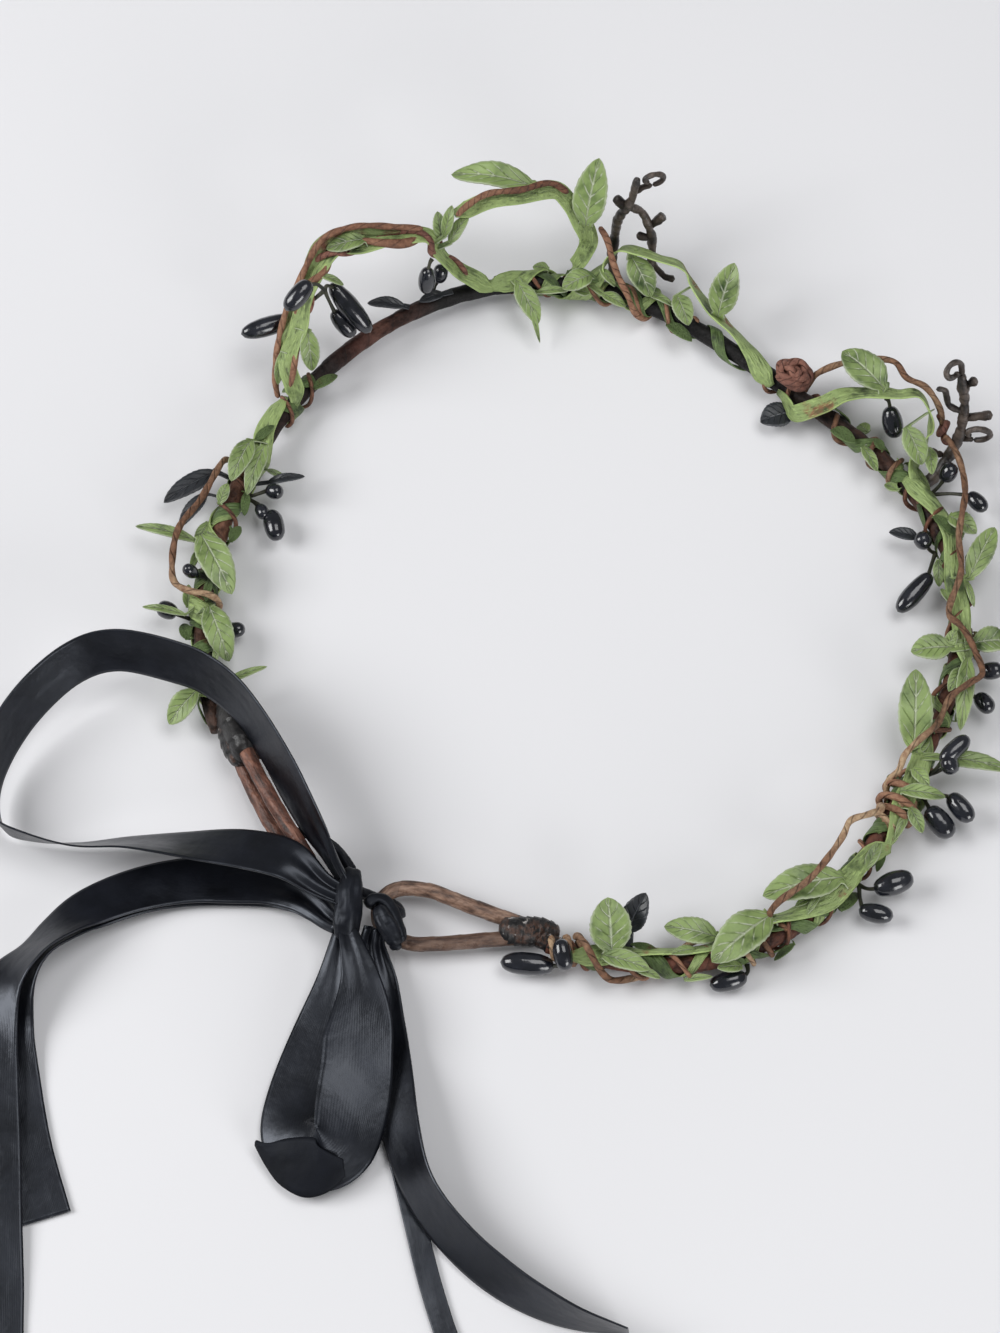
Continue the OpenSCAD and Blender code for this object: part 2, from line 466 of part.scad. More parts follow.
SMALL_LOOP = [[-8.8, 100.4, 7, 10, 0.5], [-13.5, 109.5, 4.6, 8, 0.72],
              [-18.6, 121.7, 3, 8, 1], [-23.3, 134.6, 2.9, 12, 1.08],
              [-27.4, 142.9, 4, 26, 1.04], [-33.9, 146.4, 5, 34, 1],
              [-40, 144, 5.8, 36, 1], [-41.6, 137.5, 6.6, 30, 1.04],
              [-37.8, 129.0, 8, 16, 1.1], [-32.4, 120.6, 9.4, 5, 1.05],
              [-26.1, 112.6, 10, 0, 1], [-19.3, 106.0, 10.4, -4, 0.8],
              [-12.4, 100.7, 10.6, 0, 0.55]];
TAIL_CUT = [[-3.4, 99.8, 5, 0, 0.42], [0.6, 96.2, 4.6, 0, 0.55],
            [6.6, 96.2, 3, 3, 0.72], [13.9, 98.4, 1.6, 5, 0.9],
            [21.0, 103.0, 1.4, 5, 1], [29.4, 109.9, 1.5, 7, 1], [36.4, 118.4, 2, 12, 1],
            [41.7, 128.7, 2.9, 20, 1], [43.6, 137.3, 4.6, 38, 1],
            [44.3, 145.8, 5.4, 48, 1], [42.8, 154.4, 4.4, 34, 1],
            [38.0, 162.6, 2.4, 12, 1], [29.6, 170.7, 1.1, 2, 1], [16.7, 181.4, 0.8, 0, 1],
            [2.6, 191.0, 0.8, 0, 1]];
// The long tail lies on the cut tail as far as the bend
TAIL_LONG = concat([for (i = [0 : 9]) lifted(TAIL_CUT, i, 1.4)],
                   [[45.6, 155.4, 5.8, 28, 1], [41, 164.4, 4.4, 12, 1],
                    [32.8, 174, 3, 3, 1], [21.7, 186, 2.3, 0, 1],
                    [10.8, 198.1, 2.2, 0, 1], [0.8, 209.1, 1.3, 0, 1],
                    [-6, 217.1, 0.8, 0, 1], [-13.7, 225.8, 0.8, 0, 1]]);
TAIL_CURVED = [[-15.5, 97.2, 6, 5, 0.5], [-21.6, 102.7, 3.8, 8, 0.75],
               [-28.8, 110.6, 3.7, 14, 0.95], [-37.1, 118.3, 4.9, 26, 1],
               [-47.0, 126.6, 6.4, 44, 1], [-57, 134, 7.2, 56, 1], [-66, 138, 7, 58, 1],
               [-77, 140.2, 6.5, 58, 1], [-87.5, 140.5, 6.2, 60, 1],
               [-97, 139.5, 6.4, 70, 1], [-107, 137, 6.8, 85, 1], [-116, 133, 7, 100, 1]];
TAIL_NARROW = [[-14.6, 99.6, 2.6, 0, 0.42], [-22, 105.6, 1, 0, 0.42],
               [-30, 113.6, 0.8, 0, 0.42], [-40.3, 123.4, 0.8, 0, 0.42],
               [-52.8, 133.0, 0.8, 0, 0.42], [-63.1, 141.2, 0.8, 0, 0.42],
               [-70.0, 146.7, 0.8, 0, 0.42], [-75.6, 150.9, 0.8, 0, 0.42],
               [-83.6, 156.4, 0.8, 0, 0.42], [-92.2, 161.6, 0.8, 0, 0.42]];
module bow_loop_large() satin(LARGE_LOOP);
module bow_loop_small() satin(SMALL_LOOP);
module bow_tail_cut() satin(TAIL_CUT);
module bow_tail_long() satin(TAIL_LONG);
module bow_tail_curved() satin(TAIL_CURVED);
module bow_tail_narrow() satin(TAIL_NARROW);
// Knot, hitch and tie: short rounded wraps; rows x, y, z, radius
module lump(rows) color([0.07, 0.07, 0.09])
    for (i = [0 : len(rows) - 2])
        hull() for (r = [rows[i], rows[i + 1]])
            translate([r[0], r[1], r[2]]) sphere(r[3], $fn = 6);
module bow_knot() {
    lump([[-1, 86.5, 10.5, 2], [-3.5, 90, 11.5, 2.6], [-6.5, 94.5, 11, 2.8],
          [-8.6, 98.2, 8.6, 2.4]]);
    // Through the left eyelet and back
    lump([[-1.5, 87, 8.8, 1.5], [6, 84.3, 8.6, 1.3], [13.5, 85.2, 8.7, 1.2],
          [15.5, 88.5, 8.7, 1.2], [13, 93.4, 8.7, 1.2], [7, 94.3, 8.6, 1.3],
          [-2, 92.5, 9.4, 1.5]]);
}
module bow_hitch() {
    lump([[-9.2, 91.4, 9.5, 1.6], [-9.8, 88.5, 9.6, 1.7], [-13, 88, 9.2, 1.7],
          [-17.2, 90.4, 8.8, 1.7], [-20.7, 93, 8.4, 1.5], [-18.7, 95, 7.65, 1.1]]);
    // Through the right eyelet and back
    lump([[-13, 88, 9.2, 1.4], [-15.2, 86.4, 5, 1.2], [-11.5, 84.5, 1.5, 1.1],
          [-7, 86, 2, 1.1], [-4, 89, 7, 1.5]]);
}
module end_tie() lump([[38.2, 74.3, 9.4, 1], [35.4, 74.6, 9.3, 1], [32, 74.8, 9, 1]]);

hoop();
garland_left();
garland_arch();
garland_top();
garland_front();
garland_front_right();
garland_right();
garland_back();
twine_left();
twine_arch();
twine_top();
twine_front();
twine_front_right();
twine_right();
twine_back();
twine_end();
twine_rosette();
bud_sprig_1();
bud_sprig_2();
bud_sprig_3();
bud_sprig_4();
bud_sprig_5();
bud_sprig_6();
bud_sprig_7();
bud_sprig_8();
bud_sprig_9();
bud_sprig_10();
bud_sprig_11();
bud_sprig_12();
bud_sprig_13();
bud_sprig_14();
bud_sprig_15();
bud_sprig_16();
black_leaf_1();
black_leaf_2();
black_leaf_3();
black_leaf_4();
black_leaf_5();
black_leaf_6();
black_leaf_7();
black_leaf_8();
antler_left();
antler_right();
bow_loop_large();
bow_loop_small();
bow_knot();
bow_hitch();
bow_tail_cut();
bow_tail_long();
bow_tail_curved();
bow_tail_narrow();
end_tie();
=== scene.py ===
import math

import bpy
from mathutils import Matrix, Vector, noise


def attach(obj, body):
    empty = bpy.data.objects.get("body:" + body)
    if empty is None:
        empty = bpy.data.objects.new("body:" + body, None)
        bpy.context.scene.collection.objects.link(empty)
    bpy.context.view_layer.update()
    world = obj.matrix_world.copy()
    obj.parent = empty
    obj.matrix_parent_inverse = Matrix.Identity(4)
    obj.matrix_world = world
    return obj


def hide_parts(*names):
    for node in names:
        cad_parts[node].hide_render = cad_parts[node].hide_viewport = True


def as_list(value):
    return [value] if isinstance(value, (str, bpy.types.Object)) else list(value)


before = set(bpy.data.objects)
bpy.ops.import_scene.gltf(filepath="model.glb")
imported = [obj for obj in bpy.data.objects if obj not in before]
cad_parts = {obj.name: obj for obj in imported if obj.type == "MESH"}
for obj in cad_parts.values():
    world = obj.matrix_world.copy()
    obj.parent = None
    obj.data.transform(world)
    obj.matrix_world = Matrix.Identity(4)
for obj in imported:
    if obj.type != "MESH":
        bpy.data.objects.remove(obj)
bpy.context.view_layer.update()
mm = 0.001
print("crown: frame loaded,", len(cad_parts), "nodes")

# Camera at the photo's angle: high over the back, with the bow near
camera = {
    "place": (-236.0, 331.9, 810.2),
    "right": (-0.788, -0.616, 0.0),
    "up": (0.553, -0.708, 0.438),
    "lens": 102.1,
}


def addCamera():
    back = Vector(camera["right"]).cross(Vector(camera["up"])).normalized()
    right = Vector(camera["right"]).normalized()
    up = back.cross(right)
    turn = Matrix((right, up, back)).transposed().to_4x4()
    bpy.ops.object.camera_add()
    seen = bpy.context.object
    seen.matrix_world = Matrix.Translation(Vector(camera["place"]) * mm) @ turn
    seen.data.lens = camera["lens"]
    seen.data.sensor_width = 36
    seen.data.clip_end = 20
    bpy.context.scene.camera = seen


# The hoop's hand-bent ring; every table below is in millimetres and degrees:
# "at" round from the front, "clock" round the wire, "reach" from its middle
ring = {
    "radius": 88.5,
    "up": 5.0,
    "lobes": ((2, 4.0, 87), (3, 1.3, 38), (4, 3.1, -36), (5, 1.2, 26)),
    "leftEnd": 148,
    "rightEnd": -147,
}


def ringRadius(at):
    return ring["radius"] + sum(size * math.cos(math.radians(count * (at - turn)))
                                for count, size, turn in ring["lobes"])


def outward(at):
    a = math.radians(at)
    return Vector((math.sin(a), -math.cos(a), 0))


def place(at, clock, reach):
    c = math.radians(clock)
    flat = outward(at) * (ringRadius(at) + reach * math.cos(c))
    return (flat + Vector((0, 0, ring["up"] + reach * math.sin(c)))) * mm


def offWire(at, clock):
    c = math.radians(clock)
    return outward(at) * math.cos(c) + Vector((0, 0, math.sin(c)))


def hugging(point):
    # 1 on the wire, 0 well clear of it
    at = math.degrees(math.atan2(point.x, -point.y))
    reach = math.hypot(point.xy.length - ringRadius(at) * mm, point.z - ring["up"] * mm) / mm
    return min(1.0, max(0.0, (5.5 - reach) / 2))


def smoothRows(rows, steps):
    last = len(rows) - 1
    out = []
    for i in range(last):
        four = (rows[max(i - 1, 0)], rows[i], rows[i + 1], rows[min(i + 2, last)])
        for k in range(steps):
            t = k / steps
            out.append([
                0.5 * (2 * b + (c - a) * t + (2 * a - 5 * b + 4 * c - d) * t * t
                       + (3 * b - a - 3 * c + d) * t ** 3)
                for a, b, c, d in zip(*four)
            ])
    out.append(list(rows[last]))
    return out


# A path is a list of evenly spaced stations: middle, way, side, face and the extra numbers of its rows
def makePath(points, faces, extras, count):
    lengths = [0.0]
    for a, b in zip(points, points[1:]):
        lengths.append(lengths[-1] + (b - a).length)
    stations = []
    k = 0
    for i in range(count + 1):
        want = lengths[-1] * i / count
        while k < len(points) - 2 and lengths[k + 1] < want:
            k += 1
        t = (want - lengths[k]) / max(lengths[k + 1] - lengths[k], 1e-9)
        stations.append({
            "mid": points[k].lerp(points[k + 1], t),
            "face": faces[k].lerp(faces[k + 1], t),
            "extra": [a + (b - a) * t for a, b in zip(extras[k], extras[k + 1])],
        })
    for i, s in enumerate(stations):
        before, after = stations[max(i - 1, 0)], stations[min(i + 1, count)]
        s["way"] = (after["mid"] - before["mid"]).normalized()
        s["side"] = s["face"].cross(s["way"]).normalized()
        s["face"] = s["way"].cross(s["side"])
    return stations, lengths[-1]


def hoopPath(rows, count):
    run = smoothRows(rows, 8)
    points = [place(*r[:3]) for r in run]
    faces = [offWire(r[0], r[1]) for r in run]
    return makePath(points, faces, [r[3:] for r in run], count)


def steadyFaces(points):
    # faces that never spin about the path, for round pieces
    faces = []
    way = (points[1] - points[0]).normalized()
    face = way.orthogonal().normalized()
    for i, p in enumerate(points):
        after = (points[min(i + 1, len(points) - 1)] - points[max(i - 1, 0)]).normalized()
        face = way.rotation_difference(after) @ face
        way = after
        faces.append(face.copy())
    return faces


def freePath(rows, count, onHoop=False, steps=8):
    run = smoothRows(rows, steps)
    points = [place(*r[:3]) if onHoop else Vector(r[:3]) * mm for r in run]
    return makePath(points, steadyFaces(points), [r[3:] for r in run], count)


def finePath(rows, perMm, least=1, onHoop=False):
    # a free path with so many stations a millimetre
    long = freePath(rows, 8, onHoop)[1]
    return freePath(rows, max(least, round(long / mm * perMm)), onHoop)


def bumps(s, scale, shift=(0, 0, 0)):
    return noise.noise(s["mid"] * scale + Vector(shift))


# Shapes a grid by moving each of its corners; rolled closes it into a tube
def shapeGrid(name, along, across, put, rolled=False):
    bpy.ops.object.select_all(action="DESELECT")
    bpy.ops.mesh.primitive_grid_add(x_subdivisions=along, y_subdivisions=across, size=1)
    piece = bpy.context.object
    piece.name = name
    for corner in piece.data.vertices:
        corner.co = put(round((corner.co.x + 0.5) * along), corner.co.y + 0.5)
    if rolled:
        bpy.ops.object.mode_set(mode="EDIT")
        bpy.ops.mesh.select_all(action="SELECT")
        bpy.ops.mesh.remove_doubles(threshold=1e-6)
        bpy.ops.mesh.fill_holes(sides=0)
        bpy.ops.mesh.select_all(action="SELECT")
        bpy.ops.mesh.normals_make_consistent(inside=False)
        bpy.ops.object.mode_set(mode="OBJECT")
    bpy.ops.object.shade_smooth()
    return piece


def addTube(name, path, sides, radius, material):
    def put(i, v):
        s = path[i]
        a = 2 * math.pi * v
        out = s["side"] * math.cos(a) + s["face"] * math.sin(a)
        return s["mid"] + out * radius(i / (len(path) - 1), v, s)

    return dress(shapeGrid(name, len(path) - 1, sides, put, rolled=True), material)


def thicken(piece, thick, offset=0):
    bpy.context.view_layer.objects.active = piece
    wall = piece.modifiers.new("wall", "SOLIDIFY")
    wall.thickness = thick * mm
    wall.offset = offset
    bpy.ops.object.modifier_apply(modifier=wall.name)
    return piece


def addBand(name, path, across, width, rise, thick, material):
    def put(i, v):
        s = path[i]
        u = i / (len(path) - 1)
        return s["mid"] + s["side"] * (v - 0.5) * width(u, v, s) + s["face"] * rise(u, v, s)

    return dress(thicken(shapeGrid(name, len(path) - 1, across, put), thick), material)


def dress(piece, material):
    piece.data.materials.clear()
    piece.data.materials.append(material)
    return piece


def roundTip(u, long, reach, least=0.0):
    # narrows a tube over the given reach to a half-round end, with at least this share of its radius
    near = min(1.0, min(u, 1 - u) * long / (reach * mm))
    return least + (1 - least) * math.sqrt(max(0.0, 1 - (1 - near) ** 2))


def joinPieces(pieces, name):
    bpy.ops.object.select_all(action="DESELECT")
    for piece in pieces:
        piece.select_set(True)
    bpy.context.view_layer.objects.active = pieces[0]
    if len(pieces) > 1:
        bpy.ops.object.join()
    pieces[0].name = name
    return pieces[0]


def finishPiece(piece, slotName, *nodes):
    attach(piece, "root")
    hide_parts(*nodes)
    return piece


# Materials: a node tree with short words for its sums, noises, mixes and ramps
class Paint:
    def __init__(self, tree):
        self.tree = tree

    def add(self, kind, **values):
        made = self.tree.nodes.new("ShaderNode" + kind)
        for key, value in values.items():
            setattr(made, key, value)
        return made

    def feed(self, socket, value):
        if hasattr(value, "is_output"):
            self.tree.links.new(value, socket)
        else:
            socket.default_value = value

    def calc(self, operation, a, b=0.0, clamp=False):
        made = self.add("Math", operation=operation, use_clamp=clamp)
        self.feed(made.inputs[0], a)
        self.feed(made.inputs[1], b)
        return made.outputs[0]

    def times(self, a, b):
        return self.calc("MULTIPLY", a, b)

    def plus(self, a, b):
        return self.calc("ADD", a, b)

    def minus(self, a, b):
        return self.calc("SUBTRACT", a, b)

    def above(self, value, start, gain):
        # 0 up to the start, then rising to 1
        return self.calc("MULTIPLY", self.minus(value, start), gain, clamp=True)

    def near(self, value, reach):
        # 1 at nothing, falling to 0 at the reach
        return self.calc("SUBTRACT", 1.0, self.calc("DIVIDE", value, reach), clamp=True)

    def offMiddle(self, value):
        return self.calc("ABSOLUTE", self.minus(value, 0.5))

    def ramp(self, value, *stops):
        made = self.add("ValToRGB")
        bar = made.color_ramp.elements
        for element, (position, color) in zip(bar, (stops[0], stops[-1])):
            element.position = position
            element.color = (*color, 1)
        for position, color in stops[1:-1]:
            bar.new(position).color = (*color, 1)
        self.feed(made.inputs[0], value)
        return made.outputs[0]

    def mix(self, share, a, b):
        made = self.add("Mix", data_type="RGBA", blend_type="MIX")
        for socket, value in ((0, share), (6, a), (7, b)):
            plain = socket and not hasattr(value, "is_output")
            self.feed(made.inputs[socket], (*value, 1) if plain else value)
        return made.outputs[2]

    def over(self, body, color, mask, amount):
        # lays a colour over the body where the mask is
        return self.mix(self.times(mask, amount), body, color)

    def noise(self, point, scale, detail, rough):
        made = self.add("TexNoise")
        for key, value in (("Vector", point), ("Scale", scale), ("Detail", detail), ("Roughness", rough)):
            self.feed(made.inputs[key], value)
        return made.outputs["Fac"]

    def grain(self, scale, detail=2, rough=0.5):
        return self.noise(self.add("TexCoord").outputs["Object"], scale, detail, rough)

    def streaks(self, longScale, roundScale, detail, rough):
        # noise in long streaks down the piece
        point = self.add("CombineXYZ")
        self.feed(point.inputs[0], self.times(self.along, longScale))
        self.feed(point.inputs[1], self.times(self.across, roundScale))
        return self.noise(point.outputs[0], 1.0, detail, rough)

    def group(self, tree, *values):
        made = self.add("Group", node_tree=tree)
        for socket, value in zip(made.inputs, values):
            self.feed(socket, value)
        return made.outputs

    def wound(self, turns, starts=1.0):
        return self.group(winding, self.along, self.across, turns, starts)

    def paint(self, name, value):
        self.feed(self.shader.inputs[name], value)

    def bump(self, height, distance):
        made = self.add("Bump")
        for key, value in (("Strength", 1.0), ("Distance", distance), ("Height", height)):
            self.feed(made.inputs[key], value)
        self.paint("Normal", made.outputs[0])


def newPaint(name, rough, mapped=True, **constants):
    made = bpy.data.materials.new(name)
    made.use_nodes = True
    p = Paint(made.node_tree)
    p.made = made
    p.shader = made.node_tree.nodes["Principled BSDF"]
    p.paint("Roughness", rough)
    for key, value in constants.items():
        p.paint(key.replace("_", " "), value)
    if mapped:
        parts = p.add("SeparateXYZ")
        p.feed(parts.inputs[0], p.add("UVMap", uv_map="UVMap").outputs[0])
        p.along, p.across = parts.outputs[:2]
    return p


def newGroup(name, inputs, outputs):
    group = bpy.data.node_groups.new(name, "ShaderNodeTree")
    for way, words in (("INPUT", inputs), ("OUTPUT", outputs)):
        for word in words:
            group.interface.new_socket(word, in_out=way, socket_type="NodeSocketFloat")
    return Paint(group), group.nodes.new("NodeGroupInput").outputs, group.nodes.new("NodeGroupOutput").inputs


def shade(color, share):
    return [min(1, c * share) for c in color]


# Shared effect: a leaf's midrib and side veins, from how far along and across it
def makeVeinGroup():
    p, start, end = newGroup("leafVeins", ("Along", "Across", "Pairs"), ("Veins", "Midrib"))
    off = p.offMiddle(start[1])
    slant = p.minus(start[0], p.times(off, 0.5))
    wave = p.calc("FRACT", p.times(slant, start[2]))
    fade = p.calc("SUBTRACT", 1.15, p.times(off, 2.0), clamp=True)
    p.feed(end[0], p.times(p.near(p.offMiddle(wave), 0.13), fade))
    p.feed(end[1], p.near(off, 0.05))
    return p.tree


# Shared effect: tape or paper wound round and round; gives the lie and the seam of each turn
def makeWindingGroup():
    p, start, end = newGroup("winding", ("Along", "Round", "Turns", "Starts"), ("Lie", "Seam"))
    walk = p.plus(p.times(start[0], start[2]), p.times(start[1], start[3]))
    lie = p.calc("FRACT", walk)
    p.feed(end[0], lie)
    p.feed(end[1], p.near(lie, 0.16))
    return p.tree


leafVeins = makeVeinGroup()
winding = makeWindingGroup()


def leafMaterial(name, dark, light, veinAndHighlight, rough, pairs, veinHighlightShare):
    p = newPaint(name, rough)
    side, midrib = p.group(leafVeins, p.along, p.across, pairs)
    mottled = p.ramp(p.grain(190, 4, 0.6), (0.3, dark), (0.46, shade(light, 0.75)),
                     (0.72, shade(light, 1.15)))
    body = p.over(mottled, shade(light, 1.3), p.above(p.grain(55, 1), 0.42, 4.0), 0.4)
    # painted shade: darker along the side-vein grooves
    shaded = p.over(body, shade(dark, 0.45), side, 0.35)
    # painted highlight: broken pale slashes along the side veins, in the vein colour
    veinHighlight = p.times(side, p.above(p.grain(420), 0.44, 7.0))
    lined = p.over(shaded, veinAndHighlight, veinHighlight, veinHighlightShare)
    full = p.over(lined, veinAndHighlight, midrib, 0.55)
    rim = p.above(p.offMiddle(p.across), 0.43, 16.0)
    p.paint("Base Color", p.over(full, shade(veinAndHighlight, 0.7), rim, 0.5))
    height = p.plus(p.times(side, -0.8), p.times(midrib, -1.2))
    p.bump(p.plus(height, p.times(p.grain(1800), 0.15)), 0.0003)
    return p.made


def ribbonMaterial(name, dark, light, brown):
    p = newPaint(name, 0.5)
    body = p.ramp(p.grain(110, 4, 0.6), (0.34, dark), (0.47, light), (0.62, light), (0.69, brown),
                  (0.78, dark))
    creasesAndPaintedLight = p.streaks(26.0, 6.0, 3, 0.6)
    # painted shade: darker in the grooves of the creases
    folded = p.over(body, shade(dark, 0.4), p.above(0.43, creasesAndPaintedLight, 9.0), 0.75)
    # painted highlight on the crests of the creases, and paler edges
    edge = p.above(p.offMiddle(p.across), 0.4, 10.0)
    pale = p.calc("MAXIMUM", p.times(edge, 0.6), p.times(p.above(creasesAndPaintedLight, 0.57, 12.0), 0.6))
    p.paint("Base Color", p.mix(pale, folded, shade(light, 1.75)))
    p.bump(p.plus(p.times(creasesAndPaintedLight, 2.5), p.times(p.grain(900, 3), 0.4)), 0.0004)
    return p.made


def twineMaterial(name, low, high, pale, turns):
    p = newPaint(name, 0.75)
    seam = p.wound(turns, 2.0)[1]
    fibre = p.grain(700, 4, 0.7)
    stretches = p.above(p.grain(30), 0.44, 6.0)
    brown = p.ramp(fibre, (0.3, low), (0.7, high))
    body = p.mix(stretches, brown, p.ramp(fibre, (0.3, shade(high, 0.9)), (0.7, pale)))
    p.paint("Base Color", p.over(body, shade(low, 0.5), seam, 0.45))
    p.bump(p.plus(fibre, p.times(seam, -1.0)), 0.0005)
    return p.made


# The hoop's tape: its turns, then its tones from the right end to the left as how far along, dark, light
tapeTurns = 62
hoopTones = (
    (0.0, (0.03, 0.012, 0.009), (0.15, 0.06, 0.04)), (0.3, (0.022, 0.010, 0.008), (0.11, 0.045, 0.03)),
    (0.43, (0.012, 0.008, 0.008), (0.07, 0.035, 0.025)), (0.5, (0.003, 0.003, 0.003), (0.014, 0.013, 0.013)),
    (0.7, (0.004, 0.004, 0.004), (0.015, 0.014, 0.014)), (0.735, (0.03, 0.012, 0.008), (0.13, 0.06, 0.045)),
    (0.755, (0.03, 0.012, 0.009), (0.08, 0.035, 0.028)), (0.77, (0.008, 0.006, 0.006), (0.025, 0.018, 0.017)),
    (0.83, (0.010, 0.007, 0.006), (0.04, 0.024, 0.02)), (0.87, (0.04, 0.018, 0.012), (0.18, 0.085, 0.055)),
    (1.0, (0.010, 0.007, 0.006), (0.07, 0.04, 0.03)),
)


def hoopMaterial():
    p = newPaint("hoopTape", 0.5, Specular_IOR_Level=0.16)
    lie, seam = p.wound(tapeTurns)
    low, high = (p.ramp(p.along, *((row[0], row[tone]) for row in hoopTones)) for tone in (1, 2))
    share = p.above(p.plus(p.streaks(90.0, 5.0, 3, 0.6), p.grain(230, 4, 0.65)), 0.82, 3.2)
    p.paint("Base Color", p.over(p.mix(share, low, high), (0.006, 0.005, 0.005), seam, 0.5))
    p.bump(p.plus(p.times(lie, 0.6), p.grain(420, 4, 0.6)), 0.0008)
    return p.made


def tapeMaterial(name, dark, light, turns, rough=0.5):
    p = newPaint(name, rough)
    lie, seam = p.wound(turns)
    body = p.ramp(p.grain(260, 4, 0.6), (0.35, dark), (0.7, light))
    p.paint("Base Color", p.over(body, shade(dark, 0.4), seam, 0.7))
    p.bump(p.plus(lie, p.times(p.grain(900, 3), 0.6)), 0.0004)
    return p.made


def strandMaterial(name, dark, middle, light, lower=0.0):
    # bare paper-wound strands of the eyelets, streaked along their length; lower darkens the second half
    p = newPaint(name, 0.5)
    seam = p.wound(11.0)[1]
    streaks = p.streaks(14.0, 7.0, 4, 0.65)
    body = p.ramp(streaks, (0.36, dark), (0.5, middle), (0.66, light))
    shaded = p.over(body, dark, p.above(p.along, 0.55, 6.0), lower)
    p.paint("Base Color", p.over(shaded, (0.05, 0.022, 0.015), seam, 0.35))
    p.bump(p.plus(p.plus(streaks, p.grain(700, 3)), p.times(seam, -0.3)), 0.0004)
    return p.made


def bindingMaterial():
    # black wire binding with brown showing through and clear specks of glue, painted near-white as their
    # glint
    p = newPaint("bindingTape", 0.4, Specular_IOR_Level=0.35)
    lie, seam = p.wound(8.0)
    body = p.ramp(p.grain(330, 4, 0.65), (0.34, (0.005, 0.005, 0.006)), (0.5, (0.028, 0.026, 0.026)),
                  (0.63, (0.08, 0.042, 0.03)), (0.67, (0.016, 0.015, 0.015)))
    dark = p.over(body, (0.003, 0.003, 0.003), seam, 0.7)
    # painted glint: near-white specks of clear glue
    glueGlint = p.above(p.grain(560), 0.65, 16.0)
    p.paint("Base Color", p.over(dark, (0.55, 0.52, 0.5), glueGlint, 0.7))
    p.bump(p.plus(p.times(lie, 0.7), p.grain(700, 3)), 0.0006)
    return p.made


def satinMaterial(name, rough, specular):
    p = newPaint(name, rough, Specular_IOR_Level=specular, Specular_Tint=(0.82, 0.88, 1, 1))
    creasesAndPaintedLight = p.grain(120, 3, 0.55)
    # painted sheen: soft lighter, bluer patches of base colour; the same noise sets the roughness and bump of
    # the creases
    p.paint("Base Color", p.ramp(creasesAndPaintedLight, (0.3, (0.003, 0.0033, 0.0045)), (0.75, (0.006, 0.007, 0.011))))
    p.paint("Roughness", p.ramp(creasesAndPaintedLight, (0.3, [rough - 0.05] * 3), (0.8, [rough + 0.09] * 3)))
    threads = p.calc("SINE", p.times(p.across, 190.0))
    height = p.plus(p.times(p.streaks(9.0, 2.6, 2, 0.4), 1.6), p.times(creasesAndPaintedLight, 2.6))
    p.bump(p.plus(height, p.times(threads, 0.03)), 0.00012)
    return p.made


def budMaterial():
    p = newPaint("budBlack", 0.16, mapped=False, Coat_Weight=0.6, Coat_Roughness=0.08)
    spots = p.grain(320, 3)
    p.paint("Base Color", p.ramp(spots, (0.35, (0.005, 0.006, 0.009)), (0.75, (0.016, 0.018, 0.026))))
    p.paint("Roughness", p.ramp(spots, (0.35, [0.12] * 3), (0.8, [0.3] * 3)))
    p.bump(p.grain(500), 0.0001)
    return p.made


leafGreen = leafMaterial("leafGreen", (0.032, 0.062, 0.016), (0.225, 0.31, 0.105), (0.72, 0.77, 0.6),
                         0.42, 6.5, 0.75)
leafBlack = leafMaterial("leafBlack", (0.008, 0.009, 0.012), (0.022, 0.025, 0.03), (0.12, 0.13, 0.145),
                         0.4, 6.0, 0.4)
ribbonGreen = ribbonMaterial("leafRibbonGreen", (0.05, 0.08, 0.022), (0.26, 0.345, 0.125), (0.24, 0.11, 0.05))
ribbonDeep = ribbonMaterial("leafRibbonDeep", (0.02, 0.034, 0.01), (0.10, 0.155, 0.048), (0.13, 0.05, 0.028))
hoopTape = hoopMaterial()
twinePaper = twineMaterial("twinePaper", (0.06, 0.028, 0.015), (0.24, 0.115, 0.06), (0.52, 0.38, 0.235), 16.0)
twineRust = twineMaterial("twineRust", (0.045, 0.016, 0.010), (0.2, 0.08, 0.042), (0.36, 0.2, 0.12), 16.0)
rosettePaper = twineMaterial("rosettePaper", (0.028, 0.010, 0.008), (0.16, 0.056, 0.038),
                             (0.32, 0.15, 0.105), 30.0)
bindingTape = bindingMaterial()
paperTape = ribbonMaterial("crumpledPaper", (0.15, 0.055, 0.03), (0.17, 0.23, 0.08), (0.26, 0.11, 0.06))
coverTape = tapeMaterial("coverTape", (0.004, 0.004, 0.0045), (0.02, 0.018, 0.018), 3.0, 0.42)
eyeletTape = strandMaterial("eyeletTape", (0.05, 0.026, 0.018), (0.18, 0.105, 0.072),
                            (0.33, 0.215, 0.155), 0.55)
eyeletRed = strandMaterial("eyeletRed", (0.028, 0.012, 0.008), (0.11, 0.042, 0.026), (0.25, 0.115, 0.075))
antlerTape = tapeMaterial("antlerTape", (0.012, 0.010, 0.010), (0.13, 0.10, 0.082), 14.0, 0.42)
stemGreen = tapeMaterial("stemTape", (0.02, 0.022, 0.014), (0.06, 0.06, 0.035), 10.0, 0.6)
satinBlack = satinMaterial("satinBlack", 0.33, 0.52)
satinReverse = satinMaterial("satinReverse", 0.6, 0.2)
satinKnot = satinMaterial("satinKnot", 0.44, 0.3)
budBlack = budMaterial()
print("crown: materials made")

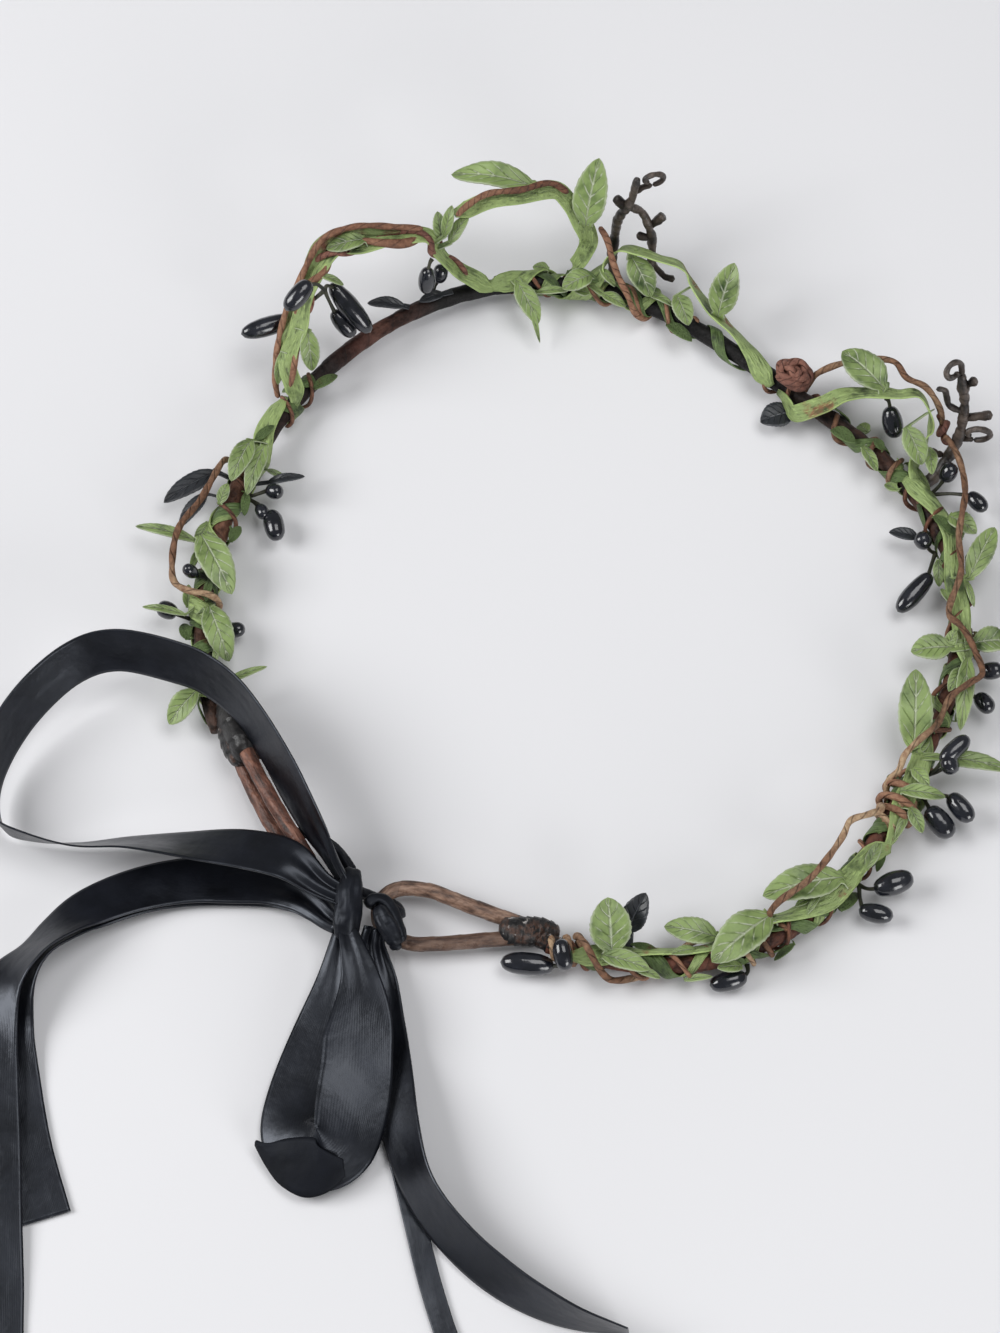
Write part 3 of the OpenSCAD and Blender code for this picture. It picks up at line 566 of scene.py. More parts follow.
# Hoop
hoop = {
    "leftEyelet": (
        (48, 73, 4.2), (39, 79, 4.4), (30, 84, 4.6), (20, 88.5, 5), (13.4, 90.4, 5.5),
        (9, 90.9, 7.2), (8.4, 90.5, 9.7), (12, 89.4, 12), (19, 87, 12.8), (28, 83, 12.1),
        (36, 79, 10.5), (43, 75, 8.5), (48, 72, 6.8)),
    "rightEyelet": (
        (-42, 70, 5), (-35, 72.5, 5), (-25, 75.5, 5), (-16.5, 78, 5), (-10.5, 82.5, 5),
        (-10, 88, 5), (-14.5, 92, 5), (-21, 91, 5), (-27, 86.5, 5), (-34, 80, 5), (-40.5, 74, 5)),
    "wireRadius": 2.0,
    "eyeletRadius": 1.7,
    "tapeStep": 0.12,
    "leftBinding": ((52.5, 68, 5, 2.3), (49, 71.5, 5.2, 3.2), (45, 74.5, 5.8, 3.7), (41.5, 77, 6.4, 3.7),
                    (38, 79, 6.8, 3.2), (36.6, 79.6, 6.9, 2.4)),
    "leftCover": ((50, 70.8, 5.6, 2.6), (47, 73, 6.8, 3), (44, 74.8, 7.4, 3.3), (41, 76.4, 8, 3.3),
                  (38.5, 77.9, 8.4, 3.2), (36.4, 79, 8.8, 2.7)),
    "rightNeck": ((-51.5, 69.9, 5, 2.2), (-49, 70.7, 5, 2.4), (-46.4, 71, 5, 2.6), (-43.8, 71.1, 5, 2.8),
                  (-41, 72, 5, 2.6)),
    "rightBinding": ((-47, 68, 5, 2.3), (-43.5, 70, 5, 3.3), (-41.5, 71.5, 5, 3.6), (-39, 73.2, 5, 3.6),
                     (-36.5, 75, 5, 3.3), (-35.4, 75.8, 5, 2.4)),
    "strandTurns": 13,
    # turns of each binding and how many times taller it is than wide
    "bindings": {"leftBinding": (8, 1), "leftCover": (3, 1.62), "rightNeck": (4, 1), "rightBinding": (8, 1)},
}


def makeHoop():
    span = ring["leftEnd"] - ring["rightEnd"]
    path = hoopPath([(ring["rightEnd"] + span * i / 120, 0, 0) for i in range(121)], 620)[0]

    def wire(u, v, s):
        turn = (u * tapeTurns + v) % 1.0
        lump = 0.3 * bumps(s, 90) + 0.16 * bumps(s, 300)
        return (hoop["wireRadius"] + hoop["tapeStep"] * turn + lump) * mm

    pieces = [addTube("wire", path, 18, wire, hoopTape)]

    def strand(u, v, s):
        turn = (u * hoop["strandTurns"] + v) % 1.0
        return (hoop["eyeletRadius"] + hoop["tapeStep"] * turn + 0.1 * bumps(s, 120)) * mm

    for key, tape in (("leftEyelet", eyeletRed), ("rightEyelet", eyeletTape)):
        pieces.append(addTube("strand", freePath(hoop[key], 150)[0], 14, strand, tape))
    for key, (turns, tall) in hoop["bindings"].items():
        path, long = freePath(hoop[key], 60)

        def bound(u, v, s):
            a = 2 * math.pi * v
            upright = (s["side"] * math.cos(a) + s["face"] * math.sin(a)).z
            lump = 0.35 * bumps(s, 170, s["face"] * math.sin(a))
            seam = 0.28 * ((u * turns + v) % 1.0) - 0.2
            oval = tall / math.sqrt(upright ** 2 + tall ** 2 * (1 - upright ** 2))
            return (s["extra"][0] * oval + seam + lump) * roundTip(u, long, 1.8, 0.45) * mm

        tape = coverTape if key == "leftCover" else bindingTape
        pieces.append(addTube("bound", path, 24, bound, tape))
    finishPiece(joinPieces(pieces, "hoopWrapped"), "wrapped_wire", "hoop")


makeHoop()
print("crown: hoop wrapped")

# Leaf ribbons: route rows at, clock, reach; leaf rows base, tip, width
garlands = {
    "left": {
        "route": (
            (91, 60, 3.6), (96.5, 90, 3.45), (103, 195, 3.55), (110, 305, 3.45),
            (116, 410, 3.45), (120.5, 540, 3.45), (125, 675, 3.45), (129, 810, 3.45),
            (133, 930, 3.45), (137.5, 1050, 3.45), (141.5, 1155, 3.45)),
        "leaves": (
            (98.6, 70, 4.9, 106.5, 80, 5.4, 5.5), (98.2, 113, 4.9, 107.5, 132, 5.6, 4.5),
            (116.2, 52, 5.6, 126, 150, 8, 8), (117.2, 40, 5.4, 116, 4, 20, 3),
            (129.5, 45, 5.2, 128, 12, 14.5, 2), (128, 115, 4, 137.5, 165, 6.5, 7),
            (142, 60, 4.5, 145, 0, 10.5, 6), (141.5, 150, 5, 140.5, 165, 15.5, 2),
            (101, 165, 4.6, 100.5, 185, 9.5, 1.6))},
    "arch": {
        "toward": 0.5,
        "route": (
            (88, 100, 3.6), (86, 60, 9), (82, 63, 15), (77.5, 60, 22), (72.5, 60, 26.5),
            (68.5, 67, 26), (64, 72, 25), (59.5, 75, 22.5), (58, 78, 15.5), (56, 82, 10),
            (53.5, 93, 6), (51.5, 115, 3.6)),
        "leaves": (
            (68, 68, 27.3, 73, 60, 28, 5.2), (81, 70, 15, 83.5, 91, 6, 4.8),
            (85, 50, 12, 88, 29, 6, 2.4), (75.5, 64, 24, 73.5, 74, 20.5, 2),
            (57.5, 74, 20, 57, 65, 25.5, 3.4), (57, 76, 21, 55, 68, 27, 3),
            (56.5, 78, 19, 53, 71, 24, 3.4))},
    "top": {
        "toward": 0.85,
        "route": (
            (55, 70, 25), (53, 69, 25), (50, 69, 26.5), (45.5, 70, 27.5), (41, 65, 27.5),
            (39, 65, 24.5), (37, 65, 18.5), (36, 61, 13.5), (36.8, 56, 8.5),
            (38, 50, 5), (38.8, 40, 3.5)),
        "leaves": ((43.5, 62, 27.5, 53.5, 46, 30, 7.2), (36.5, 68, 19, 35, 61, 36.5, 8.4))},
    "front": {
        "route": (
            (50, 110, 3.3), (46.5, 90, 3.3), (43, 0, 3.3), (40, -90, 3.3),
            (37.5, -180, 3.3), (35.5, -260, 3.4), (34, -310, 5), (31.5, -308, 11.5),
            (28.5, -304, 13), (25.5, -304, 13), (22, -311, 13), (20, -316, 10), (17, -315, 7),
            (13, -310, 5.2), (9.5, -312, 4.2), (6.5, -290, 3.4), (3.5, -249, 3.3), (1, -220, 3.3)),
        "leaves": (
            (47, 115, 4.5, 44.5, 175, 12.5, 5.4), (46, 128, 4.8, 44.5, 185, 16.5, 1.6),
            (35.5, 80, 5, 40, 130, 7.5, 5.8), (34, 60, 6, 31.5, 100, 5, 2.4),
            (29.5, 56, 11, 25.5, 96, 5.5, 6.8), (33.5, 130, 4.6, 29.4, 146, 5.2, 3.2),
            (21.5, 66, 6.5, 18, 120, 5.5, 5.2), (14, 60, 7, 14, 54, 21, 7.4))},
    "front_right": {
        "route": (
            (-2.5, 160, 3.3), (-5, 156, 5), (-7.5, 150, 6.8), (-10.5, 104, 7.2),
            (-12, 74, 9.4), (-15.5, 56, 13.5), (-17.5, 45, 15.5), (-19, 37, 18),
            (-21.5, 29, 16.5), (-23.5, 15, 12), (-26, 20, 5), (-29, 60, 3.4)),
        "leaves": (
            (-15.5, 50, 15, -7, 51, 16.5, 9), (-22.5, 60, 12, -28, 55, 7, 6),
            (-25.5, 24, 10, -30, 50, 7, 3.4))},
    "right": {
        "route": (
            (-31, 90, 3.4), (-38, 60, 3.3), (-47, 110, 3.3), (-52, 100, 3.3),
            (-58, 75, 3.3), (-63, -15, 3.3), (-68, -100, 3.3), (-73, -190, 3.3),
            (-78, -270, 3.3), (-86, -290, 3.3), (-91, -330, 3.3)),
        "leaves": (
            (-37, 60, 5, -41, 39, 8.5, 5.2), (-47.5, 60, 4.5, -40.5, 24, 12.5, 6),
            (-59, 120, 4, -60.5, 165, 11.5, 6.8), (-58, 50, 4.5, -57, 14, 12, 6.8),
            (-78, 120, 4.5, -65.5, 137, 12, 8.2), (-60.5, 60, 4.6, -72, 29, 6.5, 4.4),
            (-77.4, 50, 4.8, -75, 8, 20, 4.4), (-81, 97, 5, -82.5, 48, 7, 3.4),
            (-85.3, 97, 5.2, -82.5, 24, 10, 3.8), (-86.5, 51, 5, -88.5, 20, 9, 3.4))},
    "back": {
        "route": (
            (-93, 33, 5), (-96, 73, 3.8), (-101, 78, 3.6), (-105, 69, 3.6),
            (-110, 120, 3.6), (-114, 140, 4.5), (-119, 140, 4), (-124, 137, 3.6),
            (-132, 140, 3.6), (-138, 94, 3.4), (-142, 60, 3.4)),
        "leaves": (
            (-101.5, 95, 4.5, -113, 150, 10, 8.6), (-113.5, 130, 6, -124, 65, 5, 9.4),
            (-121.8, 142, 5.2, -129, 154, 9, 6.4), (-137.5, 94, 4.5, -137.5, 143, 15, 9.6),
            (-139, 80, 4.5, -132.5, 56, 5, 4.8))},
}
leafCut = {"ribbonWide": 4.4, "ribbonThick": 0.35, "leafThick": 0.3, "stripThick": 0.25, "bow": 0.10,
           "fold": 0.26, "foot": 0.16, "footWide": 0.46, "teeth": 11}


# One flat leaf of length 1 and width 1, with a broad foot and a toothed edge; every leaf is a copy of it
def makeLeafMaster():
    def put(i, v):
        u = i / 36
        t = max(0.0, (u - leafCut["foot"]) / (1 - leafCut["foot"]))
        blade = max(0.0, math.sin(math.pi * t ** 0.86)) ** 0.6
        half = min(max(blade, leafCut["footWide"] * (1 - 4 * t)), (1 - t) * 5.5 + 0.03)
        tooth = 1 + 0.06 * ((u * leafCut["teeth"]) % 1.0 - 0.5) * min(1, 6 * t)
        return Vector((u, (v - 0.5) * half * tooth, 0))

    return shapeGrid("leafMaster", 36, 8, put)


leafMaster = makeLeafMaster()


def bendLeaf(name, start, base, tip, wide, seed, material):
    long = (tip - base).length
    along = (tip - base).normalized()
    face = along.cross(Vector((0, 0, 1)).cross(along).normalized())
    side = face.cross(along)
    wide = wide * mm
    leaf = leafMaster.copy()
    leaf.data = leafMaster.data.copy()
    leaf.name = name
    bpy.context.collection.objects.link(leaf)
    curl = 0.5 + 0.5 * math.sin(seed * 2.3)
    for corner in leaf.data.vertices:
        u, w = corner.co.x, corner.co.y * 2
        t = (u - leafCut["foot"]) / (1 - leafCut["foot"])
        mid = start.lerp(base, u / leafCut["foot"]) if t < 0 else base.lerp(tip, t)
        lift = leafCut["bow"] * math.sin(math.pi * max(t, 0)) * long
        wing = leafCut["fold"] * abs(w) * wide / 2 * (0.5 + 0.5 * curl)
        ripple = 0.05 * wide * abs(w) * math.sin(9 * u + seed * 1.7)
        corner.co = mid + side * w * wide / 2 + face * (lift + wing + ripple)
    return thicken(dress(leaf, material), leafCut["leafThick"])


def tuckedRows(route):
    # carries each end that lies on the wire a little further round it
    rows = [list(r) for r in route]
    for end, before in ((0, 1), (-1, -2)):
        a, b = rows[end], rows[before]
        if a[2] < 4:
            extra = [a[0] + (a[0] - b[0]) * 0.4, a[1] + (a[1] - b[1]) * 0.4, 3.05]
            rows.insert(0 if end == 0 else len(rows), extra)
    return rows


def turnFaces(path, share):
    # turns the flat of a ribbon that stands clear of the wire up and back
    for s in path:
        want = s["face"].lerp(Vector((-0.26, 0.31, 0.91)), share * (1 - hugging(s["mid"])))
        s["side"] = want.cross(s["way"]).normalized()
        s["face"] = s["way"].cross(s["side"])


def makeGarland(key, seed):
    plan = garlands[key]
    path, long = hoopPath(tuckedRows(plan["route"]), 16 * len(plan["route"]))
    turnFaces(path, plan.get("toward", 0))
    feet = [place(*row[:3]) for row in plan["leaves"]]

    def width(u, v, s):
        near = min((s["mid"] - foot).length for foot in feet) / mm
        flare = 1 + 0.22 * max(0.0, 1 - near / 5)
        ends = min(1.0, 0.45 + min(u, 1 - u) * long / mm / 6)
        return (leafCut["ribbonWide"] + 0.8 * bumps(s, 140)) * flare * ends * mm

    def rise(u, v, s):
        cup = (0.25 - 0.65 * hugging(s["mid"])) * (v - 0.5) ** 2 * 4
        return (cup + 0.3 * bumps(s, 200, (0, v * 1.5, seed))) * mm

    pieces = [addBand("ribbon", path, 6, width, rise, leafCut["ribbonThick"], ribbonGreen)]
    for n, row in enumerate(plan["leaves"]):
        base, tip = place(*row[:3]), place(*row[3:6])
        start = min((s["mid"] for s in path), key=lambda p: (p - base).length)
        pieces.append(bendLeaf("leaf", start, base, tip, row[6], seed + n, leafGreen))
    finishPiece(joinPieces(pieces, "leafRibbon_" + key), "leaf_green", "garland_" + key)


for number, key in enumerate(garlands):
    makeGarland(key, number * 10)
print("crown: leaf ribbons wound")

# Narrow strips of the same ribbon wound close on the wire between the main turns:
# from, to, clock, turns, reach, width, material
strips = {
    "left": ((97.5, 146, 20, -6.2, 2.85, 3.2, ribbonDeep), (99, 147, 200, -5.1, 2.7, 2.4, ribbonGreen),
             (113, 145, 100, 3.3, 3.0, 1.8, ribbonDeep)),
    "arch": ((84, 93, 150, -1.7, 2.85, 3.4, ribbonDeep), (85, 95, 320, 1.4, 2.7, 2.2, ribbonGreen)),
    "front": ((5, 48, 60, -5.2, 2.85, 3.0, ribbonDeep), (20, 50, 240, 3.6, 2.7, 2.4, ribbonGreen),
              (21, 46, 20, -2.2, 3.0, 1.8, ribbonDeep)),
    "front_right": ((-10, -34, 90, -2.6, 2.85, 3.0, ribbonDeep), (-24, -34, 10, 1.2, 2.7, 2.2, ribbonGreen)),
    "right": ((-33, -91, 90, 7.4, 2.85, 3.2, ribbonDeep), (-58, -92, 270, -4.4, 2.7, 2.6, ribbonGreen),
              (-36, -56, 10, 1.6, 3.0, 2.0, ribbonDeep)),
    "back": ((-88, -134, 60, 5.6, 2.85, 3.2, ribbonDeep), (-94, -132, 240, -4.3, 2.7, 2.4, ribbonGreen),
             (-104, -143, 0, 3.1, 3.0, 1.8, ribbonDeep)),
}
# Narrow leaves folded down along the wire: first place, last place, how many, width
foldedLeaves = {
    "left": (98, 141, 15, 2.4), "front": (21, 47, 9, 2.4), "front_right": (-13, -33, 6, 2.8),
    "right": (-36, -90, 17, 2.4), "back": (-94, -138, 14, 2.4), "arch": (84.5, 88, 2, 2.2),
}


def woundRows(row, sway, wobble):
    # rows of a cord or strip wound round the wire; sway shifts its turns and wobble its reach
    first, last, clock, turns, reach = row[:5]
    count = max(8, round(abs(turns) * 8))
    rows = []
    for i in range(count + 1):
        t = i / count
        rows.append((first + (last - first) * t, clock + 360 * turns * (t + sway(t)), reach + wobble(t)))
    return rows, count * 5


def makeStrips(key, seed):
    pieces = []
    for n, row in enumerate(strips[key]):
        def sway(t):
            return 0.035 * math.sin(9 * t + n + seed) + 0.02 * math.sin(23 * t + seed)

        path = hoopPath(*woundRows(row, sway, lambda t: 0.12 * math.sin(17 * t + n)))[0]

        def width(u, v, s):
            return row[5] * (0.85 + 0.5 * bumps(s, 190)) * min(1.0, 0.3 + 12 * min(u, 1 - u)) * mm

        def rise(u, v, s):
            return (-0.88 * (v - 0.5) ** 2 + 0.12 * bumps(s, 240)) * mm

        pieces.append(addBand("strip", path, 4, width, rise, leafCut["stripThick"], row[6]))
    first, last, count, wide = foldedLeaves[key]
    for n in range(count):
        wander = math.sin(seed + 5.3 * n)
        at = first + (last - first) * (n + 0.3 * wander) / count
        clock = 75 + 85 * math.sin(2.4 * n + seed)
        step = 3.6 + 1.5 * math.sin(3.1 * n + seed)
        turn = 30 * math.cos(1.9 * n + seed)
        base, tip = place(at, clock, 3.7), place(at + (step if n % 2 else -step), clock + turn, 4.5)
        start = place(at, clock - turn * 0.3, 3.0)
        tone = leafGreen if n % 3 else ribbonDeep
        pieces.append(bendLeaf("fold", start, base, tip, wide + 0.8 * wander, seed + n, tone))
    finishPiece(joinPieces(pieces, "leafStrips_" + key), "leaf_green", "garland_" + key)


for number, key in enumerate(strips):
    makeStrips(key, number * 7)
print("crown: wire covered")

# Black leaves: root at, clock, reach; then the leaf's row as above
blackLeaves = (
    ((104.5, 0, 2.9), (104.5, 5, 6.5, 111.5, 2, 15.5, 5.2)),
    ((108, 0, 2.5), (108.5, 9, 6.5, 114.5, 0, 10, 3.6)),
    ((64.2, 88, 2.8), (65, 90, 4.5, 69.5, 34, 7.2, 3.3)),
    ((57, 95, 2.8), (58.5, 97, 3.4, 62.5, 91, 3.6, 2.9)),
    ((-5.5, 215, 2.8), (-5.5, 202, 4.2, -2.5, 188, 11, 7)),
    ((-135, 200, 2.8), (-134.5, 162, 7.5, -131, 148, 17, 6)),
    ((104.8, 150, 2.8), (103.5, 160, 7, 100, 165, 15, 2.4)),
    ((-37, 190, 2.8), (-38, 185, 5.5, -36, 178, 11.5, 3.3)),
)
for number, (root, row) in enumerate(blackLeaves):
    made = bendLeaf(f"blackLeaf_{number + 1}", place(*root), place(*row[:3]), place(*row[3:6]), row[6],
                    number + 70, leafBlack)
    finishPiece(made, "leaf_black", f"black_leaf_{number + 1}")
bpy.data.objects.remove(leafMaster)
print("crown: black leaves set")

# Twine: paper cord in two strands; rows at, clock, reach
twines = {
    "left": ((99, -70, 3.4), (101, -20, 4.4), (103.5, 28, 6.5), (110.5, 33, 7.6),
             (116.5, 34, 10.6), (122, 30, 9.6), (124.5, 30, 8), (126, 60, 5.8),
             (126.5, 115, 5), (127, 190, 3.6), (127.4, 245, 3.2)),
    "arch": ((89, 0, 4), (86.8, 32, 9), (84, 46, 14.8), (80.5, 54, 21.2),
             (77.5, 56, 24.8), (73, 59, 30.6), (68.5, 64, 30.6), (64, 70.5, 28), (60, 75, 25.4)),
    "top": ((55, 77, 27), (53, 72, 27.4), (50, 69, 28.6), (45.5, 71, 29.6),
            (41.5, 66, 29.7), (39, 66, 27.2)),
    "front": ((34.5, 65, 18.4), (33.3, 64, 15), (32.3, 72, 10.8), (30.8, 88, 6.7),
              (28.6, 130, 6.2), (27, 180, 4), (26, 230, 3.4), (25.2, 285, 3.2), (24.6, 330, 3.1)),
    "front_right": ((-4.4, -40, 3.2), (-4.4, 5, 4.2), (-5, 40, 7), (-7, 46, 12), (-10, 40, 17.3),
                    (-13.2, 37, 20.8), (-16, 35, 19.5), (-18.5, 29, 20.5), (-21.5, 24, 19),
                    (-23.5, 20, 16.5)),
    "right": ((-25, 22, 15), (-28, 20, 14.3), (-31, 21, 12.5), (-33.5, 30, 11),
              (-36, 46, 10), (-38.5, 61, 8.8), (-42, 76, 6.6), (-47, 88, 5.6), (-53, 128, 5.4),
              (-56, 95, 5.8), (-59, 58, 5.8), (-63, 42, 8.6), (-65.5, 60, 8.4),
              (-68.5, 82, 6.6), (-72.5, 86, 6), (-75, 92, 8.2), (-77.5, 106, 7.8),
              (-80, 120, 7), (-83, 128, 5.8), (-85.5, 200, 3.8), (-87.5, 290, 3.6)),
    "back": ((-88, 200, 3.2), (-88.5, 130, 4.5), (-90, 106, 7.5), (-92.2, 110, 9.8),
             (-95.4, 119, 12.3), (-98.4, 115, 12.3), (-102.8, 112, 11.9), (-106.6, 112, 10.9),
             (-109.2, 116, 10.1), (-111.2, 120, 9.4), (-112.8, 126, 7.8), (-114, 136, 5.2), (-115, 150, 3.4),
             (-116, 200, 3.1)),
    "end": ((-143, 160, 3.4), (-142, 112, 5.2), (-141, 84, 6.1), (-139, 32, 5.6),
            (-137, -12, 4.4), (-134, -50, 3.4), (-130, -110, 3.4), (-126, -172, 5),
            (-123, -184, 5.8), (-121.4, -176, 4.9), (-119.8, -163, 3.9), (-118.2, -148, 3.5),
            (-117, -130, 3.1)),
}
twineCut = {"radius": 0.9, "twist": 6.5, "valley": 0.74, "ridge": 0.2}


def makeTwine(name, path, long, material):
    turns = long / mm / twineCut["twist"]

    def strands(u, v, s):
        ridge = abs(math.cos(math.pi * (2 * v + turns * u)))
        ends = roundTip(u, long, 1.2, 0.3)
        lump = 0.1 * bumps(s, 210)
        return twineCut["radius"] * (twineCut["valley"] + lump + twineCut["ridge"] * ridge) * ends * mm

    return addTube(name, path, 16, strands, material)


for key, rows in twines.items():
    path, long = finePath(rows, 2.2, onHoop=True)
    tone = twineRust if key in ("arch", "top", "front") else twinePaper
    finishPiece(makeTwine("twineCord_" + key, path, long, tone), "paper_twine", "twine_" + key)

# Thinner turns of twine on the wire: from, to, clock, turns, reach, thickness
windings = {
    "left": ((98, 128, 140, 4.2, 3.1, 1.1),),
    "arch": ((83, 92, 0, 1.6, 3.1, 1.1),),
    "front": ((17, 48, 0, -4.4, 3.1, 1.1),),
    "front_right": ((2.5, -9, 100, 2.1, 3.0, 1.3), (-12, -33, 0, 3.4, 3.1, 1.4)),
    "right": ((-26, -88, 0, 7.2, 3.15, 1.2), (-84, -91, 60, -2.4, 3.3, 1.5),
              (-83.6, -88.4, 20, 2.3, 4.5, 1.9)),
    "back": ((-89, -118, 120, -4.1, 3.1, 1.1), (-112, -121, 30, 2.6, 3.3, 1.4)),
    "end": ((-121, -144, 20, 3.4, 3.15, 1.2), (-141.4, -146.8, 60, 2.3, 2.75, 1.8)),
}


# The lump where the front right and the right twine meet
meeting = ((-22.2, 24.6, 17.4), (-23.2, 16, 16.9), (-24.4, 22, 14.3), (-24.6, 28, 16.2), (-23.9, 24, 17.6),
           (-24.2, 15, 15.6), (-25.6, 19, 14.2), (-26.6, 21.6, 14.8))
# Two cords plaited round the arch's leaf ribbon: phase, first and last station; then the cord's two reaches
braid = {"cords": ((0, 4, 96), (3.3, 30, 112)), "wide": 1.9, "high": 0.9}


def makeBraid(around):
    pieces = []
    for phase, first, last in braid["cords"]:
        rows = []
        for i in range(first, last, 2):
            s, a = around[i], 0.21 * i + 0.5 * math.sin(0.13 * i) + phase
            off = s["side"] * math.cos(a) * braid["wide"] + s["face"] * math.sin(a) * braid["high"]
            rows.append((s["mid"] + off * mm) / mm)
        path, long = freePath(rows, 110, steps=4)

        def plait(u, v, s):
            return (0.85 + 0.5 * bumps(s, 120)) * roundTip(u, long, 4, 0.2) * mm

        pieces.append(addTube("braid", path, 10, plait, rosettePaper if phase else twineRust))
    return pieces


# The crumpled band between the arch's twine and its leaf ribbon; toLeaf is its place between the two
paperBand = {"first": 3, "last": 56, "toLeaf": 0.42, "widest": 4.6, "over": 0.8, "thick": 0.3}


def makePaper(around):
    points, faces, gaps = [], [], []
    for s in freePath(twines["arch"], 60, onHoop=True)[0][paperBand["first"]:paperBand["last"]]:
        near = min(around, key=lambda r: (r["mid"] - s["mid"]).length)
        gap = near["mid"] - s["mid"]
        points.append(s["mid"].lerp(near["mid"], paperBand["toLeaf"]))
        faces.append(s["way"].cross(gap).normalized())
        gaps.append((min(paperBand["widest"], gap.length / mm + paperBand["over"]),))

    def spread(u, v, s):
        ends = min(1.0, 0.2 + 9 * min(u, 1 - u))
        return s["extra"][0] * (0.8 + 0.5 * bumps(s, 150)) * ends * mm

    def crumple(u, v, s):
        return (0.5 + 0.9 * bumps(s, 230, (0, v * 2, 0))) * mm

    paper = makePath(points, faces, gaps, 150)[0]
    return addBand("paper", paper, 8, spread, crumple, paperBand["thick"], paperTape)


def makeWindings(key):
    pieces = []
    for n, row in enumerate(windings[key]):
        rows, count = woundRows(row, lambda t: 0.04 * math.sin(8 * t + n + row[0]),
                                lambda t: 0.2 * math.sin(13 * t) - 1.1 * (1 - min(1, 9 * t, 9 * (1 - t))))
        path, long = freePath(rows, count, onHoop=True)

        def cord(u, v, s):
            return row[5] / 2 * (0.92 + 0.2 * bumps(s, 260)) * roundTip(u, long, 1, 0.3) * mm

        pieces.append(addTube("winding", path, 8, cord, twinePaper if n % 2 else twineRust))
    if key == "arch":
        around = hoopPath(garlands["arch"]["route"], 120)[0]
        turnFaces(around, garlands["arch"]["toward"])
        pieces += makeBraid(around) + [makePaper(around)]
    if key == "right":
        pieces.append(makeTwine("meeting", *freePath(meeting, 70, onHoop=True), rosettePaper))
    finishPiece(joinPieces(pieces, "twineWinding_" + key), "paper_twine", "twine_" + key)


for key in windings:
    makeWindings(key)

# Rosette: a coil of twine on a small core; radii are the coil's at each full turn
rosette = {"spot": (-2.5, 75, 4.4), "turns": 3.4, "radii": (4.05, 4.0, 3.4, 1.9, 1.2),
           "core": (0.2, 1.2, 2.6, 3.3)}


def makeRosette():
    at, clock, reach = rosette["spot"]
    low, top = place(at, clock, reach), place(at, clock, reach + 10)
    up = (top - low).normalized()
    side = up.orthogonal().normalized()
    other = up.cross(side)
    rows = []
    for i in range(73):
        turn = i / 72 * rosette["turns"]
        wide, after = rosette["radii"][int(turn):int(turn) + 2]
        a = 2 * math.pi * turn
        r = wide + (after - wide) * (turn % 1.0) + 0.35 * math.sin(3.4 * a + 2)
        h = 0.95 + 0.78 * turn + 0.35 * math.sin(2.7 * a) + 0.25 * math.sin(4.3 * a + 1)
        rows.append(low / mm + (side * math.cos(a) + other * math.sin(a)) * r + up * h)
    coil = makeTwine("coil", *freePath(rows, 260, steps=2), rosettePaper)
    middle = freePath([(low + up * h * mm) / mm for h in rosette["core"]], 10)[0]
    core = addTube("core", middle, 14, lambda u, v, s: (3.6 - 2.6 * u * u) * mm, rosettePaper)
    finishPiece(joinPieces([coil, core], "twineRosette"), "paper_twine", "twine_rosette")


makeRosette()
print("crown: twine laid")

# Buds: root at, clock, reach; then bud rows base, tip, width
sprigs = (
    ((76.3, 70.7, 21.7), ((78.4, 74.5, 29.1, 83.5, 72.5, 26.2, 4.8), (80, 38, 15, 87, 29, 21, 4.8),
                          (74.3, 61, 19.5, 72.4, 112, 8, 5.2), (75.5, 60, 12.5, 74.5, 93, 5.5, 4.4))),
    ((59.55, 81.2, 16.5), ((60.5, 84, 14.5, 61.2, 88, 6, 4.3),)),
    ((59.5, 10, 2.9), ((58.5, 38, 4.5, 57.5, 52, 9, 3.8),)),
    ((107, 165, 2.9), ((104.4, 170, 7, 104.6, 166, 11.5, 3.8), (107.4, 178, 6.5, 109.6, 172, 9.5, 3.3),
                       (107.4, 182, 9.5, 112.8, 180, 13.9, 5))),
    ((122.5, 45, 2.9), ((122.5, 48, 4, 123, 60, 9, 3.3),)),
    ((129, 0, 2.9), ((128.4, 4, 6, 127.4, 9, 11, 4.3),)),
    ((129.3, 245, 2.9), ((130.7, 200, 5.6, 131, 180, 10.2, 3.8),)),
    ((-16.5, 46, 12.9), ((-17.3, 38, 11.5, -20.9, 12, 6.5, 5),)),
    ((-31.5, 0, 2.9), ((-30.5, 12, 7.5, -29.6, 27, 12, 4.3), (-33.4, 5, 11, -36.6, 4, 12.8, 4))),
    ((-41.5, 180, 3.25), ((-40.5, 165, 4.8, -39, 148, 8, 4.3), (-45.3, 170, 6, -51.5, 183, 15, 4.8))),
    ((-66.5, 30, 2.9), ((-61.7, 8, 6, -61.4, 16, 11.5, 4.3), (-65, 0, 6.5, -67.4, 8, 11, 4.3))),
    ((-79.5, 5, 2.9), ((-79, 58, 9, -74, 46, 12, 4.3), (-79.1, 44.5, 8.1, -78.1, 46.5, 11.8, 5))),
    ((-82.5, -5, 2.9), ((-84.4, 12, 6.5, -85.7, -4, 14.5, 5.6), (-81.2, 10, 9.5, -82.9, 3, 17, 4.8))),
    ((-99.5, -5, 2.9), ((-98.8, 8, 6.6, -93.8, 5, 12, 5.6), (-101.9, -6, 6.6, -99.2, -4, 13.7, 4.6))),
    ((-119, -20, 2.9), ((-119.6, -15, 5.5, -124.7, -20, 5.5, 4.6),)),
    ((-143.5, 20, 2.9), ((-145.8, -15, 4.5, -153.7, -8, 7.8, 5.4), (-145.3, 92, 5.4, -144.1, 22, 6.4, 4.5))),
)
